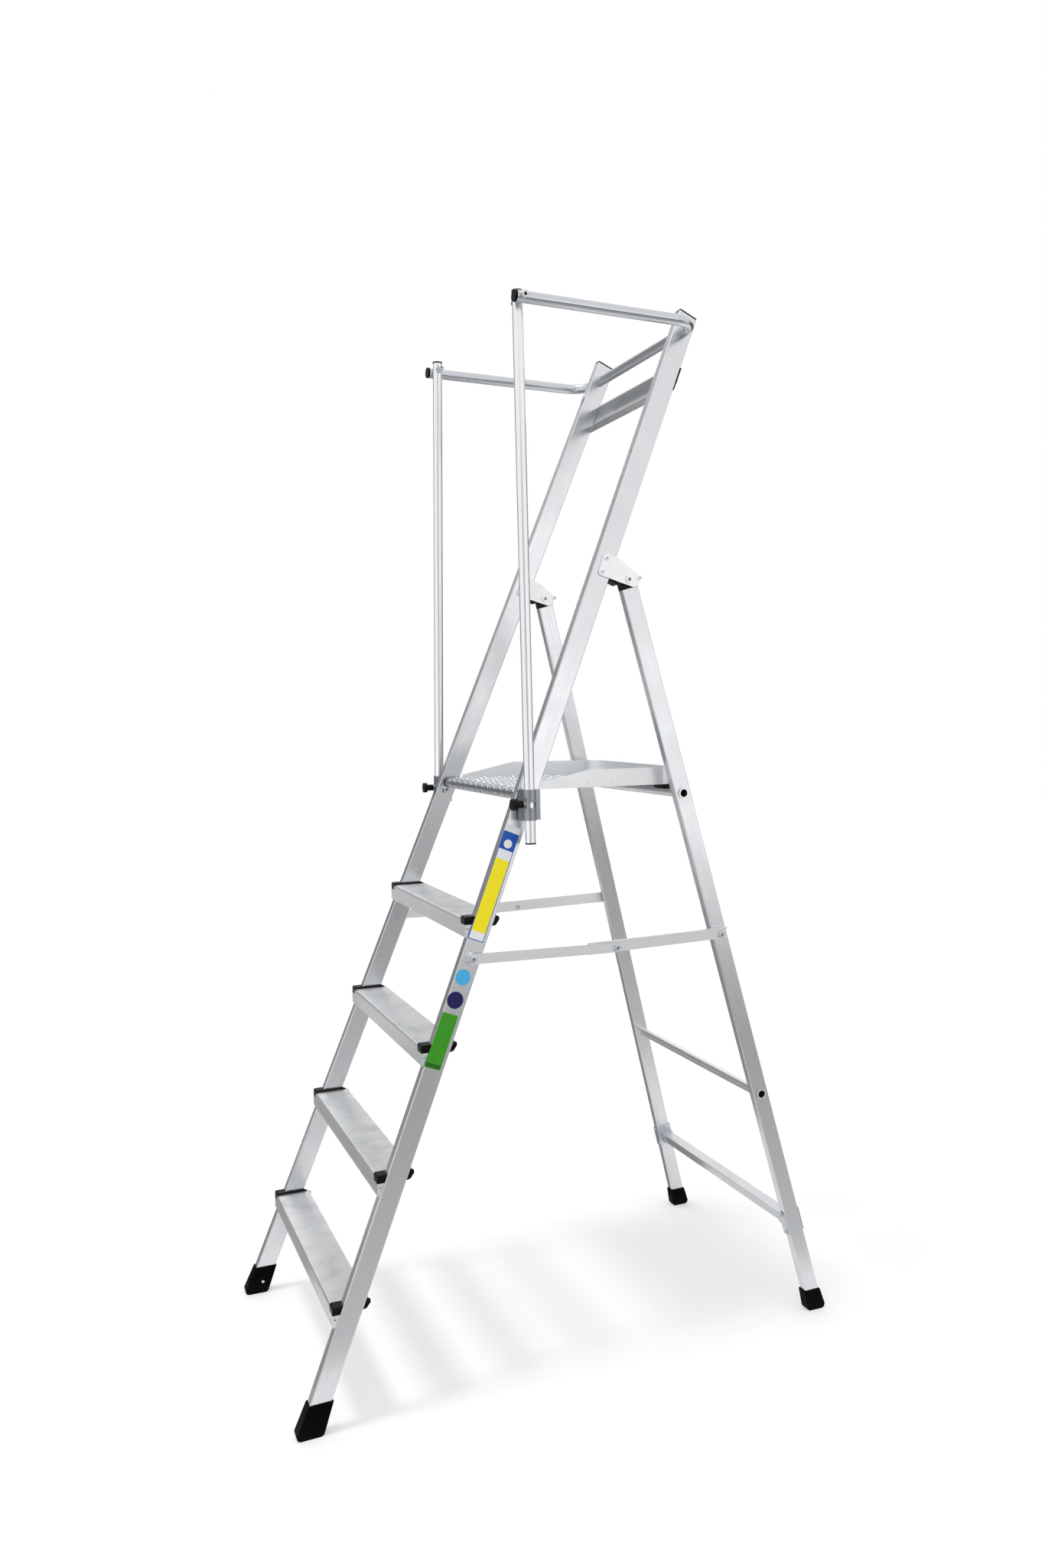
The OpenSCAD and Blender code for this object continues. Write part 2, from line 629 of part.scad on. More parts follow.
// Bottom brace: a bar in the sockets of two brackets that wrap the legs
brace_half = leg_x(brace_z) - leg_half - bracket_s - 1.5;
module on_brace() translate([0, leg_y(brace_z), brace_z]) rotate([rear_angle, 0, 0]) children();
module brace_bar() color(BRIGHT) on_brace() difference() {
    along_x(-brace_half, 2 * brace_half) box_section(brace_d, brace_h, brace_wall, 1.5);
    for (s = [-1, 1]) translate([0, -brace_d / 2, s * brace_h / 6])
        cube([2 * brace_half + 2, 1, 1], center = true);
}
module brace_bracket() color(ZINC) difference() {
    union() {
        on_leg(brace_z) translate([-leg_t / 2 - bracket_s, -leg_d / 2 - bracket_s, -bracket_l / 2])
            cube([leg_t + bracket_s - 1, leg_d + 2 * bracket_s, bracket_l]);
        on_brace() along_x(brace_half - socket_l, socket_l + 2)
            polygon(rounded(brace_d + 2 * bracket_s, brace_h + 2 * bracket_s, 2.5));
    }
    on_leg(brace_z) translate([-leg_t / 2, -leg_d / 2, -far / 2]) cube([far, leg_d, far]);
    on_brace() along_x(brace_half - far, far) polygon(rounded(brace_d + 2 * seat, brace_h + 2 * seat, 1.5));
    brace_screw_places() cylinder(r = screw_r + seat, h = far / 4, center = true);
}
module brace_bracket_right() right() brace_bracket();
module brace_bracket_left() left() brace_bracket();
brace_screw_half = bracket_l / 2 - 6;
module brace_screw_places() on_leg(brace_z) for (s = [-1, 1])
    translate([0, -leg_d / 2 - bracket_s, s * brace_screw_half]) rotate([90, 0, 0]) children();
module brace_screws() color(ZINC) both() brace_screw_places() {
    translate([0, 0, -bracket_s]) cylinder(r = screw_r, h = bracket_s + screw_head / 2);
    cylinder(r = screw_head_r, h = screw_head);
}

// Platform: a deck with a rolled nose around the rod, and a toe board round three sides
function deck_side(y, inset) = deck_half - inset / cos(stile_taper) - (y - rod_y) * tan(stile_taper);
deck_l = rung_y + deck_over - rod_y;
deck_rear = rung_y + deck_over;
corner_c = [deck_side(deck_rear - toe_corner, toe_corner), deck_rear - toe_corner];
function deck_plan(y0, inset) = concat(
    [[deck_side(y0, inset), y0]],
    arc(corner_c, toe_corner - inset, stile_taper, 90, 10),
    arc([-corner_c[0], corner_c[1]], toe_corner - inset, 90, 180 - stile_taper, 10),
    [[-deck_side(y0, inset), y0]]);
lug_t = 5;
nose_lip = 5;
module platform_deck() color(BRIGHT) difference() {
    union() {
        translate([0, 0, deck_z - deck_s]) linear_extrude(deck_s) polygon(deck_plan(rod_y, toe_s));
        translate([0, rod_y, rod_z]) difference() {
            rod_x(-deck_half + toe_s, 2 * (deck_half - toe_s), nose_r);
            rod_x(-deck_half + toe_s + lug_t, 2 * (deck_half - toe_s - lug_t), nose_r - deck_s);
            translate([-far, nose_lip, -far]) cube(2 * far);
        }
        both() translate([deck_half - toe_s - lug_t, rod_y, rod_z]) {
            rod_x(0, lug_t, nose_r - deck_s / 2);
            cube([lug_t, 2 * nose_r, nose_r - deck_s / 2]);
        }
    }
    translate([0, rod_y, rod_z]) rod_x(-far, 2 * far, rod_r + run);
}
toe_low = deck_z - deck_s;
module toe_board() color(BRIGHT) difference() {
    translate([0, 0, toe_low]) linear_extrude(toe_h) difference() {
        polygon(deck_plan(rod_y + toe_start, 0));
        polygon(deck_plan(rod_y, toe_s));
    }
    along_x(-far, 2 * far) polygon([
        [rod_y, toe_low + toe_h / 4], [rod_y + toe_start, toe_low + toe_h / 4],
        [rod_y + toe_start + toe_ramp, toe_low + toe_h], [rod_y + toe_start + toe_ramp, toe_low + 2 * toe_h],
        [rod_y, toe_low + 2 * toe_h]]);
    toe_rivet_places() rod_x(-far / 4, far / 2, screw_r + seat);
}
toe_rivet_n = 3;
toe_rivet_z = deck_z + 9;
toe_rivet_pitch = (deck_l - toe_start - toe_ramp - toe_corner) / toe_rivet_n;
function toe_rivet_y(k) = rod_y + toe_start + toe_ramp + k * toe_rivet_pitch;
module toe_rivet_places() both() for (k = [0:toe_rivet_n - 1])
    translate([deck_side(toe_rivet_y(k), 0), toe_rivet_y(k), toe_rivet_z])
        rotate([0, 0, stile_taper]) children();
module toe_rivets() color(ZINC) toe_rivet_places() {
    rod_x(-toe_s - 1, toe_s + 1.5, screw_r);
    rod_x(0, 1, screw_head_r);
    rod_x(-toe_s - 1, 1, screw_head_r);
}
deck_rib_w = 30;
deck_rib_h = 5;
deck_rib_x = deck_half / 2;
module deck_ribs() color(ALLOY) for (s = [-1, 1])
    translate([s * deck_rib_x - deck_rib_w / 2, rod_y + 2 * nose_r, deck_z - deck_s - deck_rib_h])
        cube([deck_rib_w, rung_y - rod_y - 6 * nose_r, deck_rib_h]);
saddle_in = 20;
saddle_x = deck_side(rung_y, saddle_in + saddle_w / 2);
saddle_rear = deck_over - toe_s;
saddle_top = tube_r + saddle_t + clear;
module saddle_profile() difference() {
    polygon([[-tube_r, tube_r * 0.7], [-tube_r, saddle_top], [saddle_rear, saddle_top],
        [saddle_rear, -tube_r * 0.25], [tube_r / 2, -tube_r * 0.25], [0, tube_r * 0.7]]);
    circle(r = tube_r + clear);
}
module platform_saddles() color(BLACK) intersection() {
    translate([0, rung_y, rung_z]) for (x = [-saddle_x, 0, saddle_x])
        along_x(x - saddle_w / 2, saddle_w) saddle_profile();
    translate([0, 0, rung_z - far / 2]) linear_extrude(far) polygon(deck_plan(rod_y, toe_s));
}

// Stays: a flat front bar and an angle-section rear bar whose top flange is the stop
module stay_front() color(BRIGHT) on_stay(stay_a) rotate([stay_turn_front, 0, 0]) difference() {
    along_x(stay_outer, stay_s) {
        circle(r = stay_h / 2);
        translate([0, -stay_h / 2]) square([stay_len_front, stay_h]);
        translate([stay_len_front, 0]) circle(r = stay_h / 2);
    }
    rod_x(0, far, bolt_r + run);
    translate([0, stay_len_front, 0]) rod_x(0, far, bolt_r + seat);
}
module stay_front_right() right() stay_front();
module stay_front_left() left() stay_front();
stay_bend = stay_turn_rear - stay_turn_front;
stay_lip = stay_h / 2 / cos(stay_bend) + stay_stop * tan(stay_bend) + clear;
stay_low = 0.9 * stay_h / 2;
stay_tail = 13;
stay_flange = 2 * stay_outer + stay_s;
stay_rear_l = stay_stop + stay_len_rear + stay_tail;
module stay_rear() color(BRIGHT) on_stay(stay_m) rotate([stay_turn_rear, 0, 0]) difference() {
    translate([0, -stay_stop, 0]) {
        translate([0, 0, -stay_low]) cube([stay_s, stay_rear_l, stay_low + stay_lip + stay_s]);
        translate([0, 0, stay_lip]) cube([stay_flange, stay_rear_l, stay_s]);
    }
    rod_x(-far, 2 * far, bolt_r + run);
    translate([0, stay_len_rear, 0]) rod_x(-far, 2 * far, bolt_r + seat);
}
module stay_rear_right() right() stay_rear();
module stay_rear_left() left() stay_rear();
stay_reach = 0.4 * stay_gap;
module stay_end() color(ZINC) on_stay(stay_b) {
    rod_x(-stay_reach, stay_reach + stay_s + stay_head / 2, bolt_r);
    rod_x(stay_s, stay_head, head_r);
}
module stay_end_right() right() stay_end();
module stay_end_left() left() stay_end();
joint_head = 1.2;
module stay_joint() color(ZINC) on_stay(stay_m) {
    rod_x(-clear - joint_head / 2, clear + joint_head / 2 + stay_outer + stay_s + stay_head / 2, bolt_r);
    rod_x(stay_outer + stay_s, stay_head, head_r);
    rod_x(-clear - joint_head, joint_head, bolt_r + 1.5);
}
module stay_joint_right() right() stay_joint();
module stay_joint_left() left() stay_joint();

// Handrail: one bent tube through both stiles, with plugs and post bolts at its front ends
rail_front = axis_y(sleeve_z) - rail_end;
module bow_line(r) {
    rod_x(-rail_x + bend_r, 2 * (rail_x - bend_r), r);
    both() {
        translate([rail_x - bend_r, -bend_r, 0]) rotate_extrude(angle = 90)
            translate([bend_r, 0]) circle(r = r);
        translate([rail_x, -bend_r, 0]) rotate([90, 0, 0]) cylinder(r = r, h = rail_y - rail_front - bend_r);
    }
}
module at_rail() translate([0, rail_y, rail_z]) children();
module handrail_bow() color(BRIGHT) difference() {
    at_rail() difference() {
        bow_line(tube_r);
        bow_line(tube_r - tube_wall);
        both() translate([rail_x, rail_front - rail_y + 1, 0]) rotate([90, 0, 0])
            cylinder(r = tube_r - tube_wall, h = 2);
    }
    both() translate([0, axis_y(sleeve_z), rail_z]) rod_x(rail_x - far / 4, far / 2, bolt_r + seat);
}
rail_plug_t = 5;
module rail_plugs() color(BLACK) both() translate([rail_x, rail_front, rail_z]) rotate([90, 0, 0]) {
    cylinder(r = tube_r + 0.6, h = rail_plug_t);
    translate([0, 0, -6]) cylinder(r = tube_r - tube_wall - seat, h = 7);
}
rail_bolt_head = 4;
module rail_bolts() color(ZINC) both() translate([rail_x, axis_y(sleeve_z), rail_z]) {
    rod_x(-tube_r - 0.5, 2 * tube_r + 2, bolt_r);
    rod_x(tube_r, rail_bolt_head + 1, head_r);
}

// Sleeve: a round socket for the post on a back plate, turning on its bolt
plunger_z = 2;
module sleeve() color(ALLOY) on_post() difference() {
    union() {
        translate([0, 0, -sleeve_l / 2]) linear_extrude(sleeve_l) union() {
            circle(r = sleeve_r);
            translate([-sleeve_r, 0]) square([sleeve_wing, sleeve_rear]);
            translate([-sleeve_back, -sleeve_neck]) square([sleeve_back, 2 * sleeve_neck]);
        }
        translate([0, 0, plunger_z]) rotate([90, 0, 0]) cylinder(r = boss_r, h = boss_end);
    }
    cylinder(r = tube_r + run, h = 2 * sleeve_l, center = true);
    rod_x(-far / 4, far / 4, sleeve_bolt_r + run);
    rod_x(-pocket_floor, pocket_floor, pocket_r);
    rod_x(0, far / 4, access_r);
    translate([0, 0, plunger_z]) rotate([90, 0, 0]) cylinder(r = pin_r + run, h = far / 4);
}
module sleeve_right() right() sleeve();
module sleeve_left() left() sleeve();

// Posts
module post() color(BRIGHT) on_post() difference() {
    translate([0, 0, -post_drop]) cylinder(r = tube_r, h = post_drop + post_l + post_top);
    translate([0, 0, -post_drop - 1]) cylinder(r = tube_r - tube_wall, h = post_drop + post_l + post_top + 2);
    translate([0, 0, plunger_z]) rotate([90, 0, 0]) cylinder(r = pin_r + 0.5, h = far / 4);
    translate([0, 0, post_l]) rod_x(-far / 4, far / 4, bolt_r + seat);
}
module post_right() right() post();
module post_left() left() post();
post_cap_t = 3;
post_nut_l = 5;
module post_fittings() color(BLACK) on_post() {
    translate([0, 0, post_l + post_top]) cylinder(r = tube_r + 0.5, h = post_cap_t);
    translate([0, 0, post_l + post_top - 8]) cylinder(r = tube_r - tube_wall - seat, h = 9);
    translate([0, 0, -post_drop - post_cap_t]) cylinder(r = tube_r + 0.5, h = post_cap_t);
    translate([0, 0, -post_drop - 1]) cylinder(r = tube_r - tube_wall - seat, h = 9);
    translate([0, 0, post_l]) rod_x(-tube_r - post_nut_l, post_nut_l + 0.5, bolt_r);
    translate([0, 0, post_l]) rod_x(-tube_r - post_nut_l, post_nut_l, head_r - 1);
}
module post_fittings_right() right() post_fittings();
module post_fittings_left() left() post_fittings();

// Plungers: a black spool knob on a pin that stops just clear of the post
module plunger() color(BLACK) on_post() translate([0, 0, plunger_z]) rotate([90, 0, 0]) {
    translate([0, 0, tube_r + clear]) cylinder(r = pin_r, h = boss_end - tube_r + 5);
    translate([0, 0, boss_end + clear]) cylinder(r = knob_neck_r, h = knob_l - knob_head / 2);
    translate([0, 0, boss_end + clear + knob_l - knob_head]) cylinder(r = knob_r, h = knob_head);
}
module plunger_right() right() plunger();
module plunger_left() left() plunger();

stile_right();
stile_left();
stile_caps();
front_feet();
tread_1();
tread_2();
tread_3();
tread_4();
tread_shoes_right();
tread_shoes_left();
tread_screws();
hinge_plates_outer();
hinge_plates_inner();
hinge_spacers();
hinge_rivets();
hinge_pins();
back_bar();
back_bar_caps();
back_bar_bolts();
stay_bosses();
stay_pivot_bolts();
sleeve_bolts();
sleeve_washers();
platform_rod();
platform_bushes();
leg_right();
leg_left();
leg_caps();
rear_feet();
support_rung();
lower_rung();
brace_bar();
brace_bracket_right();
brace_bracket_left();
brace_screws();
platform_deck();
toe_board();
deck_ribs();
platform_saddles();
toe_rivets();
stay_front_right();
stay_front_left();
stay_joint_right();
stay_joint_left();
stay_rear_right();
stay_rear_left();
stay_end_right();
stay_end_left();
handrail_bow();
rail_plugs();
rail_bolts();
sleeve_right();
sleeve_left();
post_right();
post_left();
post_fittings_right();
post_fittings_left();
plunger_right();
plunger_left();
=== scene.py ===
# %% [markdown]
# # A folding platform step, dressed for its portrait
# The real thing is a builder's step of aluminium extrusions: a leaning frame with four treads, hinged
# legs behind, a fold-up platform and a drop-down handrail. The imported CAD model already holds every
# tube, bolt and joint at its true size, so this script never reshapes them. It gives each one its finish,
# adds the small forms that only the eye asks for, and builds the studio around them.

# %% Load the frame
import json
import math

import bmesh
import bpy
import numpy as np
from mathutils import Matrix, Vector


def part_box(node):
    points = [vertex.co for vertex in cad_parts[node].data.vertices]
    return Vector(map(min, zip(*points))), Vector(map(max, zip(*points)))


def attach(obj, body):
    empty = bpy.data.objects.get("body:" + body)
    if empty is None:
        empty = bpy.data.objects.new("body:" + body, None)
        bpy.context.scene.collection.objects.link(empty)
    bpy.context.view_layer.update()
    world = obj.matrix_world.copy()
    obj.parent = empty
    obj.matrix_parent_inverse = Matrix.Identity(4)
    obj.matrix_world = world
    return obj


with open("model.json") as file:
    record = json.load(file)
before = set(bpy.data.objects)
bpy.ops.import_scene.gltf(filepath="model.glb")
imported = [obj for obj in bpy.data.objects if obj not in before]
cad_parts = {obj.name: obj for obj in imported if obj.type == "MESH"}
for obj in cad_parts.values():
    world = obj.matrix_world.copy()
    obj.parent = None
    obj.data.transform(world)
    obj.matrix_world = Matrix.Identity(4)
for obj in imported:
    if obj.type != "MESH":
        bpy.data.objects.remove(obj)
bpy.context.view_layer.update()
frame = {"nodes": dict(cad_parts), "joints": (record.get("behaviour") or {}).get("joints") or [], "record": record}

nodes = frame["nodes"]
joints = {joint["name"]: joint for joint in frame["joints"]}
scene = bpy.context.scene
MM = 0.001

# %% [markdown]
# ## The camera
# The straight edges of a ladder are a gift for finding a camera: the treads are level and equally spaced,
# so their pictures fix where the photographer stood, which way the lens looked and how long it was. Those
# numbers were solved once and are kept here as a position, three angles and a focal length in pixels.
# The object sits low in the picture, so the lens axis is not in the middle: shift takes that up.

# %% Camera
PHOTO_W = 1366
PHOTO_H = 2049
LENS_PX = 1454.7
LENS_AXIS_PX = (687.1, 1142.6)
EYE = Vector((2.1857, -0.9315, 1.3272))
YAW = 1.16801
PITCH = -0.14566
ROLL = -0.00739
SENSOR = 36.0

ahead = Vector((-math.sin(YAW) * math.cos(PITCH), math.cos(YAW) * math.cos(PITCH), math.sin(PITCH)))
level = Vector((math.cos(YAW), math.sin(YAW), 0))
upward = level.cross(ahead)
right = math.cos(ROLL) * level + math.sin(ROLL) * upward
top = right.cross(ahead)

lens = bpy.data.cameras.new("photo_lens")
lens.sensor_width = SENSOR
lens.sensor_fit = "AUTO"
lens.lens = SENSOR * LENS_PX / PHOTO_H
lens.shift_x = (PHOTO_W / 2 - LENS_AXIS_PX[0]) / PHOTO_H
lens.shift_y = (LENS_AXIS_PX[1] - PHOTO_H / 2) / PHOTO_H
camera = bpy.data.objects.new("photo_camera", lens)
camera.matrix_world = Matrix.Translation(EYE) @ Matrix((right, top, -ahead)).transposed().to_4x4()
scene.collection.objects.link(camera)
scene.camera = camera
scene.view_settings.view_transform = "Standard"
print("camera lens in mm:", round(lens.lens, 2))

# %% [markdown]
# ## Helpers for shader trees
# A material is a tree of nodes. Wiring it by hand is long, so one small function adds a node, sets its
# properties and feeds its sockets with either values or other nodes. Colours are written as the hex values
# that a screen shows, and a second function turns those into the linear light that Blender mixes.
# A socket is given by its label, or by its number where a label is long or occurs twice: a colour Mix has
# its factor at 0 and its colours at 6 and 7, and a Map Range turns the range 1 to 2 into the range 3 to 4.

# %% Shader helpers
def linear(hex_colour):
    """An sRGB hex value such as 'c9ccd0' as a linear RGBA colour."""
    parts = [int(hex_colour[i:i + 2], 16) / 255 for i in (0, 2, 4)]
    return [c / 12.92 if c <= 0.04045 else ((c + 0.055) / 1.055) ** 2.4 for c in parts] + [1.0]


def feed(tree, node, inputs):
    """Feeds a node's sockets: each input is a value, or the socket that it comes from."""
    for key, value in inputs.items():
        if isinstance(value, bpy.types.NodeSocket):
            tree.links.new(value, node.inputs[key])
        else:
            node.inputs[key].default_value = value


def add(tree, kind, inputs=None, **settings):
    """Adds a shader node: settings are its properties, inputs its values or the sockets that feed it."""
    node = tree.nodes.new("ShaderNode" + kind)
    for key, value in settings.items():
        setattr(node, key, value)
    feed(tree, node, inputs or {})
    return node


print("mid grey 808080 is", round(linear("808080")[0], 3), "in linear light")

# %% [markdown]
# ## Where the extrusions run
# Extruded and drawn aluminium carries fine die lines along its length, so each leaning tube needs a
# pattern that leans with it. The direction need not be typed in: the middles of a tube's two ends give it.
# The frame's vertices are in the ladder's own coordinates, so this is plain arithmetic.

# %% Directions of the leaning tubes
END_DEPTH = 18 * MM


def points_of(node):
    """All the points of a CAD node, in metres."""
    return np.array([v.co for v in nodes[node].data.vertices])


def ends_of(node):
    """The middles of the lower and upper end of a leaning tube."""
    points = points_of(node)
    heights = points[:, 2]
    lower = points[heights < heights.min() + END_DEPTH].mean(0)
    upper = points[heights > heights.max() - END_DEPTH].mean(0)
    return Vector(lower), Vector(upper)


def run_of(node):
    """The unit direction in which a leaning tube runs, upwards."""
    lower, upper = ends_of(node)
    return (upper - lower).normalized()


ACROSS = Vector((1, 0, 0))
REARWARD = Vector((0, 1, 0))
UPRIGHT = Vector((0, 0, 1))
stile_run = run_of("stile_right")
print("stile leans", round(math.degrees(stile_run.angle(UPRIGHT)), 2), "degrees from upright")

# %% [markdown]
# ## Satin extruded aluminium
# Stiles, legs and bars are extruded through a die and left with a satin skin. The eye gets a soft grey
# metal with faint lines along its length, a cloudy change of sheen every few centimetres, and a few rubs.
# True die lines are a tenth of a millimetre wide, too fine for this picture, so they are drawn ten times
# coarser. A stretched noise gives the lines, and it drives colour, roughness and bump together, as a real
# groove would. Aluminium sends back most of the light that falls on it, so its colours are pale.

# %% Extruded aluminium
DIE_LINE = 1.1 * MM
DIE_RUN = 260 * MM
DIE_GROOVE = 0.02 * MM
CLOUD = 70 * MM
RUB = 9 * MM


def new_material(name):
    """A fresh material with its tree and its Principled shader."""
    material = bpy.data.materials.new(name)
    material.use_nodes = True
    return material, material.node_tree, material.node_tree.nodes["Principled BSDF"]


def lined_aluminium(name, run, light="e8e9eb", dark="d0d2d5", rough=0.28,
                    line=DIE_LINE, groove=DIE_GROOVE):
    """Aluminium with die lines along run: light and dark are its colours between and in the lines."""
    material, tree, skin = new_material(name)
    place = add(tree, "TexCoord").outputs["Object"]
    turn = run.to_track_quat("Z", "Y").to_euler()
    lines_at = add(tree, "Mapping", {"Vector": place, "Rotation": turn, "Scale": (line, line, DIE_RUN)},
                   vector_type="TEXTURE")
    lines = add(tree, "TexNoise", {"Vector": lines_at.outputs[0], "Scale": 1.0, "Detail": 2.0})
    cloud = add(tree, "TexNoise", {"Vector": place, "Scale": 1 / CLOUD, "Detail": 3.0})
    rubs_at = add(tree, "Mapping", {"Vector": place, "Rotation": turn, "Scale": (RUB, RUB, 0.4 * RUB)},
                  vector_type="TEXTURE")
    rubs = add(tree, "TexNoise", {"Vector": rubs_at.outputs[0], "Scale": 1.0, "Detail": 4.0})
    rubbed = add(tree, "MapRange", {0: rubs.outputs[0], 1: 0.66, 2: 0.76, 3: 0.0, 4: 0.35})
    shade = add(tree, "Math", {0: lines.outputs[0], 1: cloud.outputs[0], 2: 0.12}, operation="MULTIPLY_ADD")
    tone = add(tree, "Mix", {0: shade.outputs[0], 6: linear(dark), 7: linear(light)}, data_type="RGBA")
    worn = add(tree, "Mix", {0: rubbed.outputs[0], 6: tone.outputs[2], 7: linear(dark)}, data_type="RGBA")
    sheen = add(tree, "MapRange", {0: shade.outputs[0], 1: 0.1, 2: 0.7, 3: rough + 0.07, 4: rough - 0.07})
    ridges = add(tree, "Bump", {"Height": lines.outputs[0], "Distance": groove, "Strength": 0.5})
    feed(tree, skin, {"Base Color": worn.outputs[2], "Roughness": sheen.outputs[0],
                      "Normal": ridges.outputs[0], "Metallic": 1.0})
    return material


def dress(material, *names):
    """Gives CAD nodes their finish."""
    for name in names:
        slots = nodes[name].data.materials
        slots.clear()
        slots.append(material)


for tube in ("stile_right", "stile_left", "leg_right", "leg_left"):
    dress(lined_aluminium("satin_extruded_aluminium_" + tube, run_of(tube)), tube)
dress(lined_aluminium("satin_extruded_aluminium_level", ACROSS), "back_bar", "brace_bar", "deck_ribs")
print("extrusions dressed:", [m.name for m in bpy.data.materials if m.name.startswith("satin")])

# %% [markdown]
# ## Ribbed treads
# A tread is one wide extrusion whose top is ribbed for grip. The ribs are real geometry in the CAD model.
# What is left is the wear: soles keep the metal bright and leave soft grey smudges on it. The smudges are a
# slow noise that acts only on faces that look up, and the rest is the extrusion's finish in a paler tone.

# %% Tread material
SMUDGE = 45 * MM


def tread_aluminium():
    """Extruded aluminium along X with soft grey sole marks on its upper faces."""
    material = lined_aluminium("ribbed_tread_aluminium", ACROSS, "f8f9fa", "e8eaec", 0.36)
    tree = material.node_tree
    skin = tree.nodes["Principled BSDF"]
    place = add(tree, "TexCoord").outputs["Object"]
    facing = add(tree, "SeparateXYZ", {0: add(tree, "NewGeometry").outputs["Normal"]}).outputs["Z"]
    marks = add(tree, "TexNoise", {"Vector": place, "Scale": 1 / SMUDGE, "Detail": 4.0, "Distortion": 0.2})
    smudge = add(tree, "MapRange", {0: marks.outputs[0], 1: 0.46, 2: 0.74, 3: 0.0, 4: 0.26})
    on_top = add(tree, "Math", {0: smudge.outputs[0], 1: facing}, operation="MULTIPLY", use_clamp=True)
    clean = skin.inputs["Base Color"].links[0].from_socket
    marked = add(tree, "Mix", {0: on_top.outputs[0], 6: clean, 7: linear("8f9296")}, data_type="RGBA")
    feed(tree, skin, {"Base Color": marked.outputs[2]})
    return material


dress(tread_aluminium(), "tread_1", "tread_2", "tread_3", "tread_4")
print("treads dressed")

# %% [markdown]
# ## Drawn tube
# Handrail, posts and rungs are drawn tube, smoother than the extrusions, with finer and shallower lines.
# The lines of the bent rail follow its bend, which one straight pattern cannot do. Its pattern runs to the
# rear, along its two long sides, and the part across is too thin in the picture to tell. The rail has painted
# shade: a greyer tone than the posts for the darker surroundings it mirrors. The sleeves are castings, greyer and
# rougher still.

# %% Drawn aluminium tube
TUBE_LINE = 0.8 * MM
TUBE_GROOVE = 0.003 * MM


def drawn_tube(name, run, light="f3f4f6", dark="e8eaec"):
    """Bright drawn tube with fine lines along run."""
    return lined_aluminium(name, run, light, dark, 0.25, TUBE_LINE, TUBE_GROOVE)


for side in ("right", "left"):
    dress(drawn_tube("drawn_aluminium_post_" + side, run_of("post_" + side)), "post_" + side)
dress(drawn_tube("drawn_aluminium_rung", ACROSS), "support_rung", "lower_rung")
# The rail's greyer colours are painted shade, for the darker surroundings that it mirrors
dress(drawn_tube("drawn_aluminium_bow_painted_shade", REARWARD, "d6d9dd", "c2c5ca"), "handrail_bow")
casting = lined_aluminium("cast_aluminium_sleeve", UPRIGHT, "a5a9ae", "8b8f95", 0.32)
dress(casting, "sleeve_right", "sleeve_left")
print("tubes dressed")

# %% [markdown]
# ## Mill-finish sheet
# Toe board, stays, hinge plates and bosses are cut from rolled sheet. Rolling leaves a short grain and a
# sheen that drifts in cloudy patches, with a few handling scratches. Two noises at different scales give
# the patches and the grain, and thin bands of a third one are the scratches. Rivets and hinge pins are
# aluminium too and share the finish. The platform is the same sheet in a darker tone: painted shade between its
# raised bars.

# %% Rolled aluminium sheet
GRAIN = 1.6 * MM
GRAIN_DEPTH = 0.01 * MM
PATCH = 55 * MM
SCRATCH = 28 * MM


def rolled_sheet(name, light="f7f8f9", dark="e8eaec", rough=0.40):
    """Rolled sheet: cloudy sheen, short grain and a few thin scratches."""
    material, tree, skin = new_material(name)
    place = add(tree, "TexCoord").outputs["Object"]
    patch = add(tree, "TexNoise", {"Vector": place, "Scale": 1 / PATCH, "Detail": 4.0, "Distortion": 0.5})
    grain_at = add(tree, "Mapping", {"Vector": place, "Scale": (GRAIN, 9 * GRAIN, GRAIN)},
                   vector_type="TEXTURE")
    grain = add(tree, "TexNoise", {"Vector": grain_at.outputs[0], "Scale": 1.0, "Detail": 2.0})
    bands = add(tree, "TexNoise", {"Vector": place, "Scale": 1 / SCRATCH, "Detail": 1.0, "Distortion": 1.5})
    off_mid = add(tree, "Math", {0: bands.outputs[0], 1: 0.5}, operation="SUBTRACT")
    thin = add(tree, "Math", {0: off_mid.outputs[0]}, operation="ABSOLUTE")
    scratch = add(tree, "MapRange", {0: thin.outputs[0], 1: 0.0, 2: 0.006, 3: 0.12, 4: 0.0})
    shade = add(tree, "Math", {0: patch.outputs[0], 1: grain.outputs[0], 2: 0.2}, operation="MULTIPLY_ADD")
    tone = add(tree, "Mix", {0: shade.outputs[0], 6: linear(dark), 7: linear(light)}, data_type="RGBA")
    worn = add(tree, "Mix", {0: scratch.outputs[0], 6: tone.outputs[2], 7: linear("a9adb1")},
               data_type="RGBA")
    sheen = add(tree, "MapRange", {0: shade.outputs[0], 1: 0.2, 2: 0.8, 3: rough + 0.09, 4: rough - 0.07})
    ridges = add(tree, "Bump", {"Height": grain.outputs[0], "Distance": GRAIN_DEPTH, "Strength": 0.4})
    feed(tree, skin, {"Base Color": worn.outputs[2], "Roughness": sheen.outputs[0],
                      "Normal": ridges.outputs[0], "Metallic": 1.0})
    return material


sheet = rolled_sheet("mill_finish_aluminium_sheet")
dress(sheet, "toe_board", "stay_front_right", "stay_front_left", "stay_rear_right", "stay_rear_left")
dress(sheet, "hinge_plates_outer", "hinge_plates_inner", "stay_bosses")
dress(sheet, "toe_rivets", "hinge_rivets", "hinge_pins")
# A darker copy of the sheet for the platform: painted shade between the raised bars
shaded_deck_plate = rolled_sheet("tread_plate_aluminium_painted_shade", "b4b7bb", "979a9f", 0.30)
dress(shaded_deck_plate, "platform_deck")
print("sheet parts dressed")

